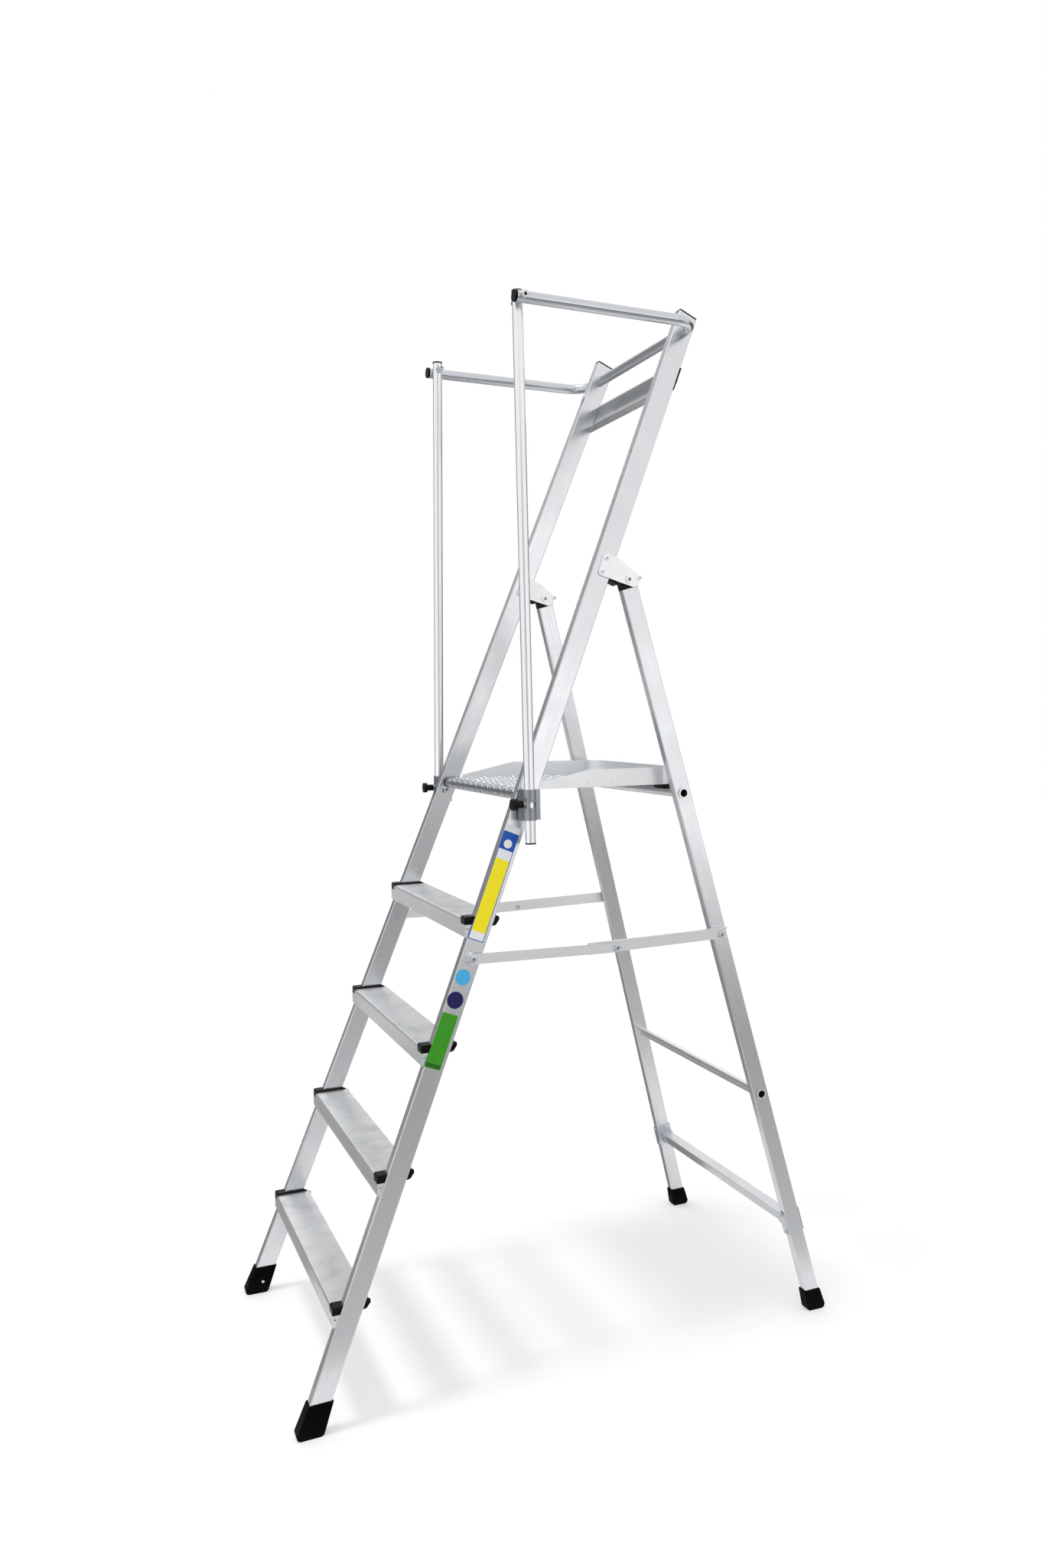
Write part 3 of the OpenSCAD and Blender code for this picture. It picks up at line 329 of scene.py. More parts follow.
# %% [markdown]
# ## Zinc-plated steel
# Bolts, screws, the platform's rod and the brace brackets are plated steel. Zinc goes on in a thin
# crystalline coat, so it is greyer and a little bluer than aluminium, with a fine mottling. A cell pattern
# gives each crystal its own tint. Real crystals are finer: they are drawn 1.5 mm wide so that they show.

# %% Zinc plating
CRYSTAL = 1.5 * MM


def zinc_plate():
    """Zinc plating: small crystals that differ a little in tint and sheen."""
    material, tree, skin = new_material("zinc_plated_steel")
    place = add(tree, "TexCoord").outputs["Object"]
    crystals = add(tree, "TexVoronoi", {"Vector": place, "Scale": 1 / CRYSTAL})
    spread = add(tree, "SeparateColor", {0: crystals.outputs["Color"]}).outputs[0]
    tone = add(tree, "Mix", {0: spread, 6: linear("bfc4c9"), 7: linear("d8dce0")}, data_type="RGBA")
    sheen = add(tree, "MapRange", {0: spread, 3: 0.28, 4: 0.42})
    feed(tree, skin, {"Base Color": tone.outputs[2], "Roughness": sheen.outputs[0], "Metallic": 1.0})
    return material


zinc = zinc_plate()
slot_of = {row["node"]: row["material_slot"] for row in frame["record"]["subparts"]}
plated = [node for node, slot in slot_of.items() if slot == "zinc_steel"]
# Rivets and hinge pins share that slot, and keep the sheet's finish
plated = [node for node in plated if "rivets" not in node and node != "hinge_pins"]
dress(zinc, *plated)
print("plated nodes:", len(plated))

# %% [markdown]
# ## Moulded black plastic and rubber
# Tread shoes, caps, knobs and saddles are injection-moulded polypropylene with a fine spark-eroded grain
# that keeps highlights soft. The boots are rubber: duller, and greyed by dust near the floor. The grain is
# really 0.1 mm, and is drawn at 0.9 mm so that it shows at all.

# %% Plastic and rubber
SPARK_GRAIN = 0.9 * MM
SPARK_DEPTH = 0.05 * MM
DUST_TOP = 45 * MM


def moulded(name, colour, worn, rough, shine, dusty):
    """A dark moulded skin with grain, pale rubs in patches and, where dusty, floor dust near the bottom."""
    material, tree, skin = new_material(name)
    place = add(tree, "TexCoord").outputs["Object"]
    grain = add(tree, "TexNoise", {"Vector": place, "Scale": 1 / SPARK_GRAIN, "Detail": 2.0})
    rubs = add(tree, "TexNoise", {"Vector": place, "Scale": 1 / (20 * SPARK_GRAIN), "Detail": 5.0})
    rubbed = add(tree, "MapRange", {0: rubs.outputs[0], 1: 0.5, 2: 0.8, 3: 0.0, 4: 0.6})
    tone = add(tree, "Mix", {0: rubbed.outputs[0], 6: linear(colour), 7: linear(worn)}, data_type="RGBA")
    height = add(tree, "SeparateXYZ", {0: place}).outputs["Z"]
    low = add(tree, "MapRange", {0: height, 1: 0.0, 2: DUST_TOP, 3: dusty, 4: 0.0})
    dust = add(tree, "Math", {0: low.outputs[0], 1: rubs.outputs[0]}, operation="MULTIPLY")
    dusted = add(tree, "Mix", {0: dust.outputs[0], 6: tone.outputs[2], 7: linear("77736c")},
                 data_type="RGBA")
    sheen = add(tree, "MapRange", {0: grain.outputs[0], 1: 0.3, 2: 0.7, 3: rough - 0.06, 4: rough + 0.08})
    pits = add(tree, "Bump", {"Height": grain.outputs[0], "Distance": SPARK_DEPTH, "Strength": 0.6})
    feed(tree, skin, {"Base Color": dusted.outputs[2], "Roughness": sheen.outputs[0],
                      "Normal": pits.outputs[0], "Specular IOR Level": shine})
    return material


black_plastic = moulded("moulded_black_polypropylene", "030304", "0b0b0c", 0.36, 0.16, 0.0)
foot_rubber = moulded("black_boot_rubber", "020202", "070707", 0.55, 0.035, 0.03)
for node, slot in slot_of.items():
    if slot in ("black_plastic", "foot_rubber"):
        dress(black_plastic if slot == "black_plastic" else foot_rubber, node)
print("black parts dressed")

# %% [markdown]
# ## The fittings of a post
# Two black plugs and one plated nut share a CAD node on each post. The nut alone is at the height of the
# rail, so one material serves the three: a Compare node finds that height and turns plastic to plated
# steel.

# %% Post fittings
bolt_low, bolt_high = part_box("rail_bolts")
bolt_z = (bolt_low.z + bolt_high.z) / 2


def fittings_finish():
    """Black plastic that turns to plated steel at the height of the rail's bolts."""
    material, tree, skin = new_material("black_plugs_and_plated_nut")
    height = add(tree, "SeparateXYZ", {0: add(tree, "TexCoord").outputs["Object"]}).outputs["Z"]
    nut = add(tree, "Math", {0: height, 1: bolt_z, 2: bolt_z - bolt_low.z}, operation="COMPARE")
    tone = add(tree, "Mix", {0: nut.outputs[0], 6: linear("030304"), 7: linear("b0b5ba")}, data_type="RGBA")
    feed(tree, skin, {"Base Color": tone.outputs[2], "Metallic": nut.outputs[0], "Roughness": 0.36})
    return material


dress(fittings_finish(), "post_fittings_right", "post_fittings_left")
print("rail bolts at", round(bolt_z, 4), "m")

# %% [markdown]
# ## A mesh from code
# The extra pieces are all built the same way: lists of points and faces become a mesh, the mesh becomes an
# object, and the object rides on the CAD body that carries it. One function does that, shades it smooth or
# flat, and gives the piece the material that it is handed.

# %% Piece helper
def make_piece(name, points, faces, material, body, smooth=False):
    """A mesh piece that rides on a body and takes the material it is given."""
    mesh = bpy.data.meshes.new(name)
    mesh.from_pydata([tuple(p) for p in points], [], faces)
    mesh.validate()
    shape = bmesh.new()
    shape.from_mesh(mesh)
    bmesh.ops.recalc_face_normals(shape, faces=shape.faces)
    for face in shape.faces:
        face.smooth = smooth
    shape.to_mesh(mesh)
    shape.free()
    mesh.materials.append(material)
    piece = bpy.data.objects.new(name, mesh)
    scene.collection.objects.link(piece)
    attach(piece, body)
    return piece


# %% [markdown]
# ## The raised pattern of the platform
# The platform and its rolled nose are pressed with short raised bars that point alternately left and right,
# so that a sole grips in every direction. Each bar is a low lens of three rings. The sheet is laid out flat
# first, with rows counted from the nose, and a bend function then wraps the rows in front round the nose.
# The platform narrows to the rear as the stiles do, so its slant is taken from the stile's direction.

# %% Platform pattern
BAR_PITCH = 17 * MM
BAR_LONG = 15 * MM
BAR_WIDE = 5 * MM
BAR_HIGH = 1.2 * MM
BAR_SIDES = 10
# Each ring of a bar as a share of its size and a share of its height
BAR_RINGS = ((1.0, -0.1), (0.85, 0.55), (0.5, 0.9))
BAR_SLANT = math.radians(45)
EDGE_GAP = 7 * MM
NOSE_ROWS = 2
REAR_CORNER = 48 * MM

pivot = Vector(joints["platform_fold"]["pos_m"])
deck_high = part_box("platform_deck")[1]
nose_radius = deck_high.z - pivot.z
narrowing = math.tan(math.asin(-stile_run.x))


def on_sheet(x, s, lift):
    """A point of the sheet: s runs rearwards along the top from the pivot, or forwards round the nose."""
    if s >= 0:
        return Vector((x, pivot.y + s, deck_high.z + lift))
    bend = -s / nose_radius
    reach = nose_radius + lift
    return Vector((x, pivot.y - reach * math.sin(bend), pivot.z + reach * math.cos(bend)))


def inside_deck(x, s):
    """True where a bar fits inside the sheet's edge, its rounded rear corners included."""
    half = deck_high.x - EDGE_GAP - max(s, 0) * narrowing
    length = deck_high.y - pivot.y - EDGE_GAP
    over_x = abs(x) - (half - REAR_CORNER)
    over_s = s - (length - REAR_CORNER)
    if over_x > 0 and over_s > 0:
        return math.hypot(over_x, over_s) < REAR_CORNER
    return abs(x) < half and s < length


def raised_bars():
    """Points and faces of every raised bar on the platform."""
    points, faces = [], []
    columns = int(deck_high.x / BAR_PITCH)
    rows = int((deck_high.y - pivot.y) / BAR_PITCH)
    for i in range(-columns, columns + 1):
        for j in range(-NOSE_ROWS, rows):
            x, s = i * BAR_PITCH, (j + 0.5) * BAR_PITCH
            if not inside_deck(x, s):
                continue
            slant = BAR_SLANT if (i + j) % 2 else -BAR_SLANT
            start = len(points)
            for scale, lift in BAR_RINGS:
                for k in range(BAR_SIDES):
                    a = 2 * math.pi * k / BAR_SIDES
                    u = scale * BAR_LONG / 2 * math.cos(a)
                    v = scale * BAR_WIDE / 2 * math.sin(a)
                    dx = u * math.cos(slant) - v * math.sin(slant)
                    ds = u * math.sin(slant) + v * math.cos(slant)
                    points.append(on_sheet(x + dx, s + ds, lift * BAR_HIGH))
            points.append(on_sheet(x, s, BAR_HIGH))
            last = start + (len(BAR_RINGS) - 1) * BAR_SIDES
            for ring in range(start, last, BAR_SIDES):
                for k in range(BAR_SIDES):
                    a, b = ring + k, ring + (k + 1) % BAR_SIDES
                    faces.append((a, b, b + BAR_SIDES, a + BAR_SIDES))
            for k in range(BAR_SIDES):
                faces.append((last + k, last + (k + 1) % BAR_SIDES, len(points) - 1))
            faces.append(tuple(reversed(range(start, start + BAR_SIDES))))
    return points, faces


bar_points, bar_faces = raised_bars()
worn_bars = rolled_sheet("tread_plate_worn_bars", "e6e8ea", "cfd2d5", 0.30)
make_piece("deck_raised_pattern", bar_points, bar_faces, worn_bars, "platform", True)
print("raised bars:", len(bar_points) // (len(BAR_RINGS) * BAR_SIDES + 1))

# %% [markdown]
# ## The outer face of the near stile
# The labels sit on the stile's wide outer face, which leans two ways. Its own frame has one direction
# along the stile, one out of the face and one across it towards the rear. Everything on the face is then
# placed by a height above the floor and a distance across, as one would with a tape measure.

# %% Stile face frame
stile_foot = ends_of("stile_right")[0]
face_out = (ACROSS - ACROSS.dot(stile_run) * stile_run).normalized()
face_back = stile_run.cross(face_out)
stile_half = max((Vector(p) - stile_foot).dot(face_out) for p in points_of("stile_right"))


def on_face(height, across, proud):
    """The point at a height, a distance to the rear of the face's middle, and proud of the face."""
    along = (height - stile_foot.z) / stile_run.z
    return stile_foot + along * stile_run + across * face_back + (stile_half + proud) * face_out


print("stile half thickness in mm:", round(stile_half / MM, 2))

# %% [markdown]
# ## Plain label films
# The near stile carries plain coloured vinyl films. Film has a crisp cut edge, a soft gloss and an
# orange-peel ripple from being rubbed down by hand. Each film is a thin closed plate whose outline is a
# rounded strip or a disc, and films that lie on others are counted up in layers.

# %% Label material and shapes
FILM = 0.12 * MM
FILM_RIPPLE = 6 * MM
RIPPLE_DEPTH = 0.04 * MM
FILM_FADE = 30 * MM
CORNER_STEPS = 5
DISC_STEPS = 48


def vinyl(name, colour, faded):
    """Coloured vinyl film with slightly uneven ink and a rubbed-down ripple."""
    material, tree, skin = new_material("vinyl_film_" + name)
    place = add(tree, "TexCoord").outputs["Object"]
    ink = add(tree, "TexNoise", {"Vector": place, "Scale": 1 / FILM_FADE, "Detail": 4.0})
    tone = add(tree, "Mix", {0: ink.outputs[0], 6: linear(colour), 7: linear(faded)}, data_type="RGBA")
    ripple = add(tree, "TexNoise", {"Vector": place, "Scale": 1 / FILM_RIPPLE, "Detail": 2.0})
    waves = add(tree, "Bump", {"Height": ripple.outputs[0], "Distance": RIPPLE_DEPTH, "Strength": 0.5})
    sheen = add(tree, "MapRange", {0: ink.outputs[0], 3: 0.32, 4: 0.44})
    feed(tree, skin, {"Base Color": tone.outputs[2], "Roughness": sheen.outputs[0],
                      "Normal": waves.outputs[0], "Specular IOR Level": 0.3})
    return material


def strip_outline(high, low, width, corner):
    """Outline of an upright strip between two heights, with rounded corners, as (height, across)."""
    lean = stile_run.z
    upper, lower, side = high - corner * lean, low + corner * lean, width / 2 - corner
    corners = ((upper, side, 0), (upper, -side, 90), (lower, -side, 180), (lower, side, 270))
    outline = []
    for height, across, start in corners:
        for step in range(CORNER_STEPS + 1):
            a = math.radians(start + 90 * step / CORNER_STEPS)
            outline.append((height + corner * lean * math.sin(a), across + corner * math.cos(a)))
    return outline


def disc_outline(height, across, radius):
    """Outline of a disc round a point of the face, as (height, across)."""
    turns = [2 * math.pi * k / DISC_STEPS for k in range(DISC_STEPS)]
    return [(height + radius * stile_run.z * math.sin(a), across + radius * math.cos(a)) for a in turns]


def stick(name, outline, material, layer=0):
    """A film piece on the near stile: layer counts the films below it."""
    count = len(outline)
    below, above = layer * FILM, (layer + 1) * FILM
    points = [on_face(h, c, below) for h, c in outline] + [on_face(h, c, above) for h, c in outline]
    faces = [tuple(range(count)), tuple(range(count, 2 * count))]
    faces += [(k, (k + 1) % count, count + (k + 1) % count, count + k) for k in range(count)]
    return make_piece("label_" + name, points, faces, material, "front_frame")


print("film thickness in mm:", FILM / MM)

# %% [markdown]
# ## The labels, top to bottom
# One long strip has a white head, then a blue field with a pale disc, a white field, a long yellow field
# and a white foot, which lie on a blue film that shows as a thin edge. Below it come a light blue disc, a
# navy disc and a green plate with a dark foot. The heights, in metres, are where the photograph shows them.

# %% Stick the labels on
STRIP_W = 33 * MM
STRIP_EDGE = 1.6 * MM
STRIP_CORNER = 2 * MM
FIELD_CORNER = 0.6 * MM
FIELD_W = STRIP_W - 2 * STRIP_EDGE
STRIP_TOP, EDGE_TOP, BLUE_LOW, WHITE_LOW = 1.110, 1.098, 1.0655, 1.048
YELLOW_LOW, STRIP_LOW = 0.914, 0.898
PALE_DISC_Z, PALE_DISC_R = 1.077, 8.5 * MM
SKY_DISC_Z, SKY_DISC_R = 0.830, 15.5 * MM
NAVY_DISC_Z, NAVY_DISC_R = 0.788, 16.5 * MM
PLATE_TOP, PLATE_LOW, PLATE_W, PLATE_CORNER = 0.763, 0.663, 33 * MM, 1 * MM
FOOT_TOP, FOOT_LOW, FOOT_W = 0.672, 0.6645, 30 * MM

white_film = vinyl("white", "e9ebee", "dfe2e6")
blue_film = vinyl("blue", "0b4aa8", "1458b6")
yellow_film = vinyl("yellow", "f7e604", "f1de0c")
sky_film = vinyl("light_blue", "35a8de", "49b3e3")
navy_film = vinyl("navy", "0a0a4a", "121358")
green_film = vinyl("green", "2f8f0e", "3a9a18")
dark_green_film = vinyl("dark_green", "1c5e0c", "226a12")

stick("strip_head", strip_outline(STRIP_TOP, EDGE_TOP, STRIP_W, STRIP_CORNER), white_film)
stick("strip_edge", strip_outline(EDGE_TOP, STRIP_LOW, STRIP_W, STRIP_CORNER), blue_film)
stick("strip_white", strip_outline(BLUE_LOW, WHITE_LOW, FIELD_W, FIELD_CORNER), white_film, 1)
stick("strip_yellow", strip_outline(WHITE_LOW, YELLOW_LOW, FIELD_W, FIELD_CORNER), yellow_film, 1)
stick("strip_foot", strip_outline(YELLOW_LOW, STRIP_LOW + STRIP_EDGE, FIELD_W, FIELD_CORNER), white_film, 1)
stick("strip_disc", disc_outline(PALE_DISC_Z, 0, PALE_DISC_R), white_film, 1)
stick("light_blue_disc", disc_outline(SKY_DISC_Z, 0, SKY_DISC_R), sky_film)
stick("navy_disc", disc_outline(NAVY_DISC_Z, 0, NAVY_DISC_R), navy_film)
stick("green_plate", strip_outline(PLATE_TOP, PLATE_LOW, PLATE_W, PLATE_CORNER), green_film)
stick("green_plate_foot", strip_outline(FOOT_TOP, FOOT_LOW, FOOT_W, FIELD_CORNER), dark_green_film, 1)

# %% [markdown]
# ## Heads of screws, bolts and rivets
# In CAD each fastener ends in a plain disc. A real head is domed and carries the mark of its tool: a cross
# recess, a hexagon socket or, on a blind rivet, the dimple of the broken stem. All three are the same loft
# of rings, whose recess has four lobes, six sides or none. The heads are found from the frame: every
# separate solid of a fastener node gets one on each end that faces a given way. The faces of a head are
# counted in the order in which they are made, so that the recess can be painted black as the shade in it.

# %% Fastener heads
HEAD_STEPS = 24
CROSS, SOCKET, DIMPLE = 4, 6, 0
# Each ring as a share of the radius and a share of the height: first the dome, then the recess
DOME = ((1.0, 0.0), (0.97, 0.45), (0.78, 0.85))
PIT = ((1.08, 1.0), (1.0, 0.9), (0.8, 0.15))
HEAD_BANDS = len(DOME + PIT) - 1
# From this face on, the recess's wall and floor are painted black as shade
SHADED_PIT_FACE = (HEAD_BANDS - 1) * HEAD_STEPS
BASE_FACE = HEAD_BANDS * HEAD_STEPS
HEAD_FACES = BASE_FACE + 2
WELD = 0.001 * MM
END_SLACK = 0.02 * MM


def solids_of(node):
    """The points of each separate solid in a CAD node."""
    shape = bmesh.new()
    shape.from_mesh(nodes[node].data)
    bmesh.ops.remove_doubles(shape, verts=shape.verts, dist=WELD)
    left, solids = set(shape.verts), []
    while left:
        group, edge = set(), [left.pop()]
        while edge:
            vert = edge.pop()
            group.add(vert)
            for link in vert.link_edges:
                other = link.other_vert(vert)
                if other in left:
                    left.remove(other)
                    edge.append(other)
        solids.append(np.array([v.co for v in group]))
    shape.free()
    return solids


def recess_radius(angle, lobes):
    """The recess's reach at an angle, as a share of its radius: a cross, a hexagon or a round dimple."""
    if lobes == CROSS:
        return 0.35 + 0.65 * abs(math.cos(2 * angle)) ** 3
    if lobes == SOCKET:
        return math.cos(math.pi / 6) / math.cos(angle % (math.pi / 3) - math.pi / 6)
    return 1.0


def head_on(points, faces, centre, out, radius, height, recess, lobes):
    """Adds one domed head to the lists: its base is at centre and it faces out."""
    side = out.orthogonal().normalized()
    other = out.cross(side)
    start = len(points)
    for share, lift in DOME + PIT:
        for k in range(HEAD_STEPS):
            a = 2 * math.pi * k / HEAD_STEPS
            reach = share * (recess * recess_radius(a, lobes) if (share, lift) in PIT else radius)
            spoke = math.cos(a) * side + math.sin(a) * other
            points.append(centre + reach * spoke + lift * height * out)
    for band in range(HEAD_BANDS):
        ring = start + band * HEAD_STEPS
        for k in range(HEAD_STEPS):
            a, b = ring + k, ring + (k + 1) % HEAD_STEPS
            faces.append((a, b, b + HEAD_STEPS, a + HEAD_STEPS))
    faces.append(tuple(range(start, start + HEAD_STEPS)))
    faces.append(tuple(range(len(points) - HEAD_STEPS, len(points))))


def heads(node, ways, radius, height, recess, lobes, metal=zinc):
    """One piece with a head on every solid of a fastener node, on each end that ways(middle) names."""
    points, faces = [], []
    for solid in solids_of(node):
        for out in ways(Vector(solid.mean(0))):
            reach = solid @ np.array(out)
            end = solid[reach > reach.max() - END_SLACK]
            centre = Vector((end.max(0) + end.min(0)) / 2)
            head_on(points, faces, centre, out, radius, height, recess, lobes)
    body = next(b for b, members in frame["record"]["behaviour"]["bodies"].items() if node in members)
    piece = make_piece(node + "_heads", points, faces, metal, body, True)
    # The recess faces take the black plastic: painted shade inside the recess, not a black part
    piece.data.materials.append(black_plastic)
    for face in piece.data.polygons:
        place = face.index % HEAD_FACES
        face.material_index = int(place >= SHADED_PIT_FACE and place != BASE_FACE)
    return piece


def outward(middle):
    """The way out of the ladder, to the side that a solid is on."""
    return [ACROSS if middle.x > 0 else -ACROSS]


print("faces of one head:", HEAD_FACES)

# %% [markdown]
# ## Which head goes where
# Screws at the tread ends and on the brace brackets have cross recesses, and so have the bolts of the
# stays. The bolts of the handrail and of the sleeves have hexagon sockets. The rivets of the hinge plates
# and the nuts on the posts have round dimples. Hinge plates lean with the stile, so their rivets face
# square to its wide sides, and the brace screws face forwards, square to the leg.

# %% Make the heads
# Each head's radius, height, radius of its recess and kind of recess
TREAD_SCREW = (2.8 * MM, 0.7 * MM, 1.6 * MM, CROSS)
BRACE_SCREW = (3.6 * MM, 0.9 * MM, 2.1 * MM, CROSS)
HINGE_RIVET = (4.4 * MM, 0.7 * MM, 1.4 * MM, DIMPLE)
RAIL_BOLT = (7 * MM, 1.3 * MM, 3.2 * MM, SOCKET)
STAY_BOLT = (7 * MM, 1.3 * MM, 3.4 * MM, CROSS)
SLEEVE_BOLT = (6 * MM, 1.2 * MM, 2.6 * MM, SOCKET)
POST_NUT = (5.6 * MM, 1.2 * MM, 1.8 * MM, DIMPLE)

leg_front = ACROSS.cross(run_of("leg_right")).normalized()
leg_front = leg_front if leg_front.y < 0 else -leg_front


def off_stile(middle):
    """Both ways along a rivet through a stile: square to the stile's wide faces."""
    out = face_out if middle.x > 0 else Vector((-face_out.x, face_out.y, face_out.z))
    return [out, -out]


def inward(middle):
    """The way to the ladder's middle, from the side that a solid is on."""
    return [-out for out in outward(middle)]


def off_post(middle):
    """The inward way for a nut at the height of the rail, and none for the caps of a post's ends."""
    return inward(middle) if bolt_low.z < middle.z < bolt_high.z else []


heads("tread_screws", outward, *TREAD_SCREW)
heads("brace_screws", lambda middle: [leg_front], *BRACE_SCREW)
heads("hinge_rivets", off_stile, *HINGE_RIVET, sheet)
heads("rail_bolts", outward, *RAIL_BOLT)
for side in ("right", "left"):
    heads("stay_joint_" + side, outward, *STAY_BOLT)
    heads("stay_end_" + side, outward, *STAY_BOLT)
heads("stay_pivot_bolts", outward, *STAY_BOLT)
heads("sleeve_bolts", inward, *SLEEVE_BOLT)
for side in ("right", "left"):
    heads("post_fittings_" + side, off_post, *POST_NUT)

# %% [markdown]
# ## Rivets of the front boots
# A rivet through each front boot holds it on the stile, and its pale head shows on the boot's inner face.
# The face leans in with the stile, so the head's place is found between the boot's sole and its rim.

# %% Boot rivets
BOOT_RIVET = (3.4 * MM, 1.2 * MM, 1.2 * MM, DIMPLE)
RIVET_Z = 27 * MM
EDGE_BAND = 3 * MM


def edge_towards(points, out):
    """The middle of the points that lie furthest along out."""
    reach = points @ np.array(out)
    return points[reach > reach.max() - EDGE_BAND].mean(0)


rivet_points, rivet_faces = [], []
for boot in solids_of("front_feet"):
    out = inward(Vector(boot.mean(0)))[0]
    heights = boot[:, 2]
    sole = edge_towards(boot[heights < MM], out)
    rim = edge_towards(boot[heights > heights.max() - MM], out)
    centre = Vector(sole + RIVET_Z / heights.max() * (rim - sole))
    head_on(rivet_points, rivet_faces, centre, out, *BOOT_RIVET)
make_piece("front_boot_rivets", rivet_points, rivet_faces, sheet, "front_frame", True)
print("boot rivets:", len(rivet_faces) // HEAD_FACES)

# %% [markdown]
# ## The studio floor
# The photograph has a white ground with only a soft shadow. A pale floor does most of that by its colour.
# What it lacks to pure white is added as a glow that only direct looks, reflections and refractions can
# see, so it puts no soft light on the object, and the shadow stays. Far from the object the glow rises, and
# the floor melts into the background without an edge.

# %% Floor
FLOOR_REACH = 14.0
FLOOR_SIDES = 96
GLOW_NEAR = 0.34
GLOW_FAR = 0.60
GLOW_FROM = 1.4
GLOW_TO = 5.0


def seen_directly(tree):
    """A socket that is 1 for camera, mirror and glass rays and 0 for light that bounces about."""
    path = add(tree, "LightPath").outputs
    seen = add(tree, "Math", {0: path["Is Camera Ray"], 1: path["Is Glossy Ray"]}, operation="MAXIMUM")
    seen = add(tree, "Math", {0: seen.outputs[0], 1: path["Is Transmission Ray"]}, operation="MAXIMUM")
    return seen.outputs[0]


def floor_paint():
    """Pale matt paint with a glow for direct looks that rises away from the object."""
    material, tree, skin = new_material("pale_studio_floor")
    tree.nodes.remove(skin)
    place = add(tree, "TexCoord").outputs["Object"]
    away = add(tree, "VectorMath", {0: place}, operation="LENGTH").outputs["Value"]
    glow = add(tree, "MapRange", {0: away, 1: GLOW_FROM, 2: GLOW_TO, 3: GLOW_NEAR, 4: GLOW_FAR})
    strength = add(tree, "Math", {0: glow.outputs[0], 1: seen_directly(tree)}, operation="MULTIPLY")
    paint = add(tree, "BsdfDiffuse", {"Color": linear("c4c4c4")})
    light = add(tree, "Emission", {"Color": linear("ffffff"), "Strength": strength.outputs[0]})
    both = add(tree, "AddShader", {0: paint.outputs[0], 1: light.outputs[0]})
    feed(tree, tree.nodes["Material Output"], {"Surface": both.outputs[0]})
    return material


floor_mesh = bpy.data.meshes.new("studio_floor")
disc = bmesh.new()
bmesh.ops.create_circle(disc, cap_ends=True, segments=FLOOR_SIDES, radius=FLOOR_REACH)
disc.to_mesh(floor_mesh)
disc.free()
floor_mesh.materials.append(floor_paint())
floor = bpy.data.objects.new("studio_floor", floor_mesh)
scene.collection.objects.link(floor)
print("floor across in metres:", 2 * FLOOR_REACH)

# %% [markdown]
# ## The light tent
# A white world stands for the walls of the tent, so that a colour renders about as it is written. A soft
# box hangs high overhead and a little in front: it draws the bars of shadow that the treads throw on the
# floor. A weak one stands far to the right, level with the platform, and lifts the sheet metal there.

# %% World and lamps
world = bpy.data.worlds.new("light_tent")
world.use_nodes = True
tent = world.node_tree.nodes["Background"]
feed(world.node_tree, tent, {"Color": linear("ffffff"), "Strength": 1.0})
scene.world = world


def soft_box(name, place, aim, size, watts):
    """A square area lamp at place that points at aim."""
    lamp = bpy.data.lights.new(name, "AREA")
    lamp.size = size
    lamp.energy = watts
    box = bpy.data.objects.new(name, lamp)
    box.location = place
    box.rotation_euler = (Vector(aim) - Vector(place)).to_track_quat("-Z", "Y").to_euler()
    scene.collection.objects.link(box)
    return box


soft_box("overhead_box", (0.0, -2.4, 9.0), (0.0, 0.1, 0.6), 1.2, 300)
soft_box("side_box", (6.0, 2.6, 1.3), (0.0, 0.0, 1.3), 2.0, 8)

# %% [markdown]
# ## Grey cards for the metal to mirror
# Metal shows what is around it, and in an all white tent it would vanish. So cards lie and stand where a
# photographer would put flags. Only reflections see them: they throw no shadow and the picture doesn't show
# them, but each way of facing gets a tone of its own, which makes an aluminium edge readable. The two
# bright strips at the left are for the fronts of the upper treads, the darker floor round them for the
# fronts of the legs, the floor at the right for the outer sides of stile and leg, and the walls for faces
# that look higher up.

# %% Grey cards
CARD_Z = 0.02


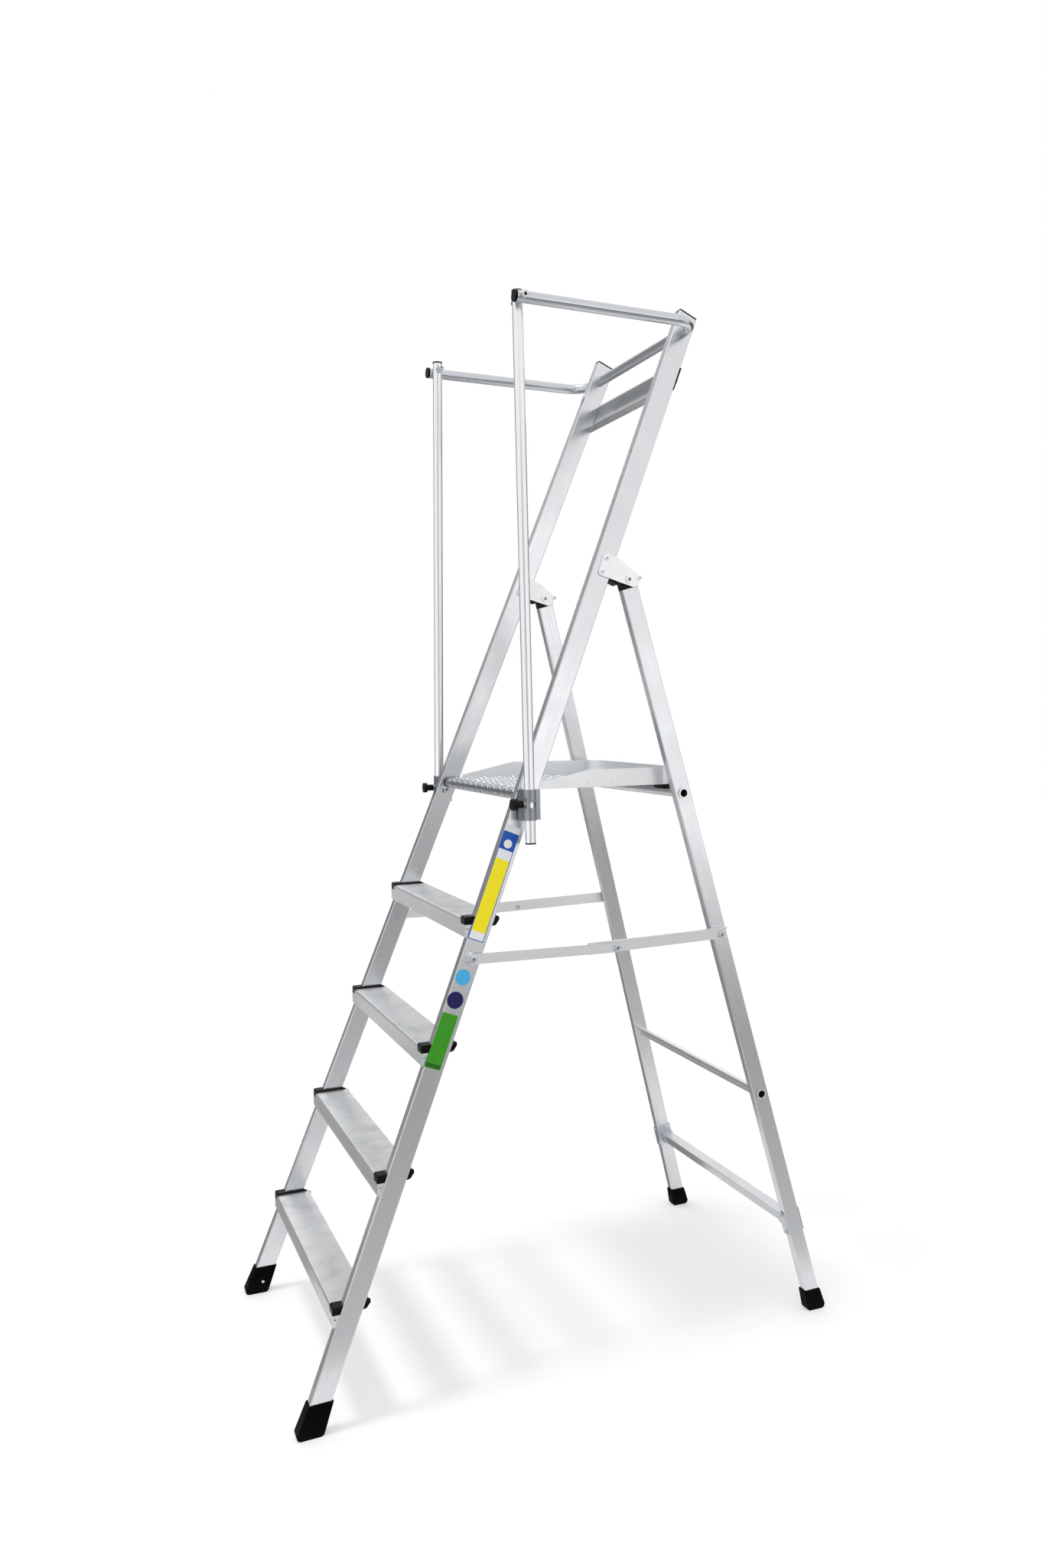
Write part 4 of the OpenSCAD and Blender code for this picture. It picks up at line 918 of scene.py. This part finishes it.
def card(name, low, high, axis, low_grey, high_grey, ramp=1.0):
    """A flat card between two corners, shaded over the first part of an axis: only reflections see it."""
    material, tree, skin = new_material("grey_card_" + name)
    tree.nodes.remove(skin)
    along = add(tree, "SeparateXYZ", {0: add(tree, "TexCoord").outputs["Generated"]}).outputs[axis]
    grey = add(tree, "MapRange", {0: along, 2: ramp, 3: low_grey, 4: high_grey})
    glow = add(tree, "Emission", {"Color": linear("ffffff"), "Strength": grey.outputs[0]})
    feed(tree, tree.nodes["Material Output"], {"Surface": glow.outputs[0]})
    u, v = [k for k in range(3) if low[k] != high[k]]
    corners = [list(low) for _ in range(4)]
    for corner, (at_u, at_v) in zip(corners, ((0, 0), (1, 0), (1, 1), (0, 1))):
        corner[u] = (low, high)[at_u][u]
        corner[v] = (low, high)[at_v][v]
    mesh = bpy.data.meshes.new("card_" + name)
    mesh.from_pydata(corners, [], [(0, 1, 2, 3)])
    mesh.materials.append(material)
    flag = bpy.data.objects.new("card_" + name, mesh)
    scene.collection.objects.link(flag)
    for ray in ("camera", "diffuse", "shadow", "transmission", "volume_scatter"):
        setattr(flag, "visible_" + ray, False)
    return flag


card("left_wall", (-8.0, -1.6, 0.0), (-8.0, 5.0, 2.5), "Y", 0.30, 0.16)
card("front_left_wall", (-8.0, -9.0, 0.0), (-8.0, -1.6, 12.0), "Y", 0.26, 0.26)
card("front_wall", (3.6, -2.6, 0.0), (3.6, -0.6, 3.0), "Y", 0.4, 0.4)
card("rear_wall", (-6.0, 6.0, 0.0), (1.0, 6.0, 4.0), "X", 0.14, 0.14)
card("left_near_floor", (-2.0, -2.3, CARD_Z), (-0.3, 0.9, CARD_Z), "X", 0.30, 0.30)
card("left_near_strip", (-2.7, -1.5, CARD_Z), (-2.0, -0.4, CARD_Z), "X", 0.85, 0.85)
card("left_middle_floor", (-4.0, -2.3, CARD_Z), (-2.7, 4.5, CARD_Z), "X", 0.16, 0.16)
card("left_far_strip", (-8.2, -2.3, CARD_Z), (-4.0, -0.6, CARD_Z), "X", 1.0, 1.0)
card("left_far_floor", (-8.2, -0.6, CARD_Z), (-4.0, 4.5, CARD_Z), "X", 0.10, 0.20)
card("front_left_floor", (-8.2, -6.5, CARD_Z), (-2.0, -2.3, CARD_Z), "Y", 0.25, 0.25)
card("front_floor", (-0.3, -2.2, CARD_Z), (1.2, -0.64, CARD_Z), "Y", 0.32, 0.32)
card("right_floor", (0.5, -0.6, CARD_Z), (9.0, 8.0, CARD_Z), "X", 0.64, 0.24, 0.35)
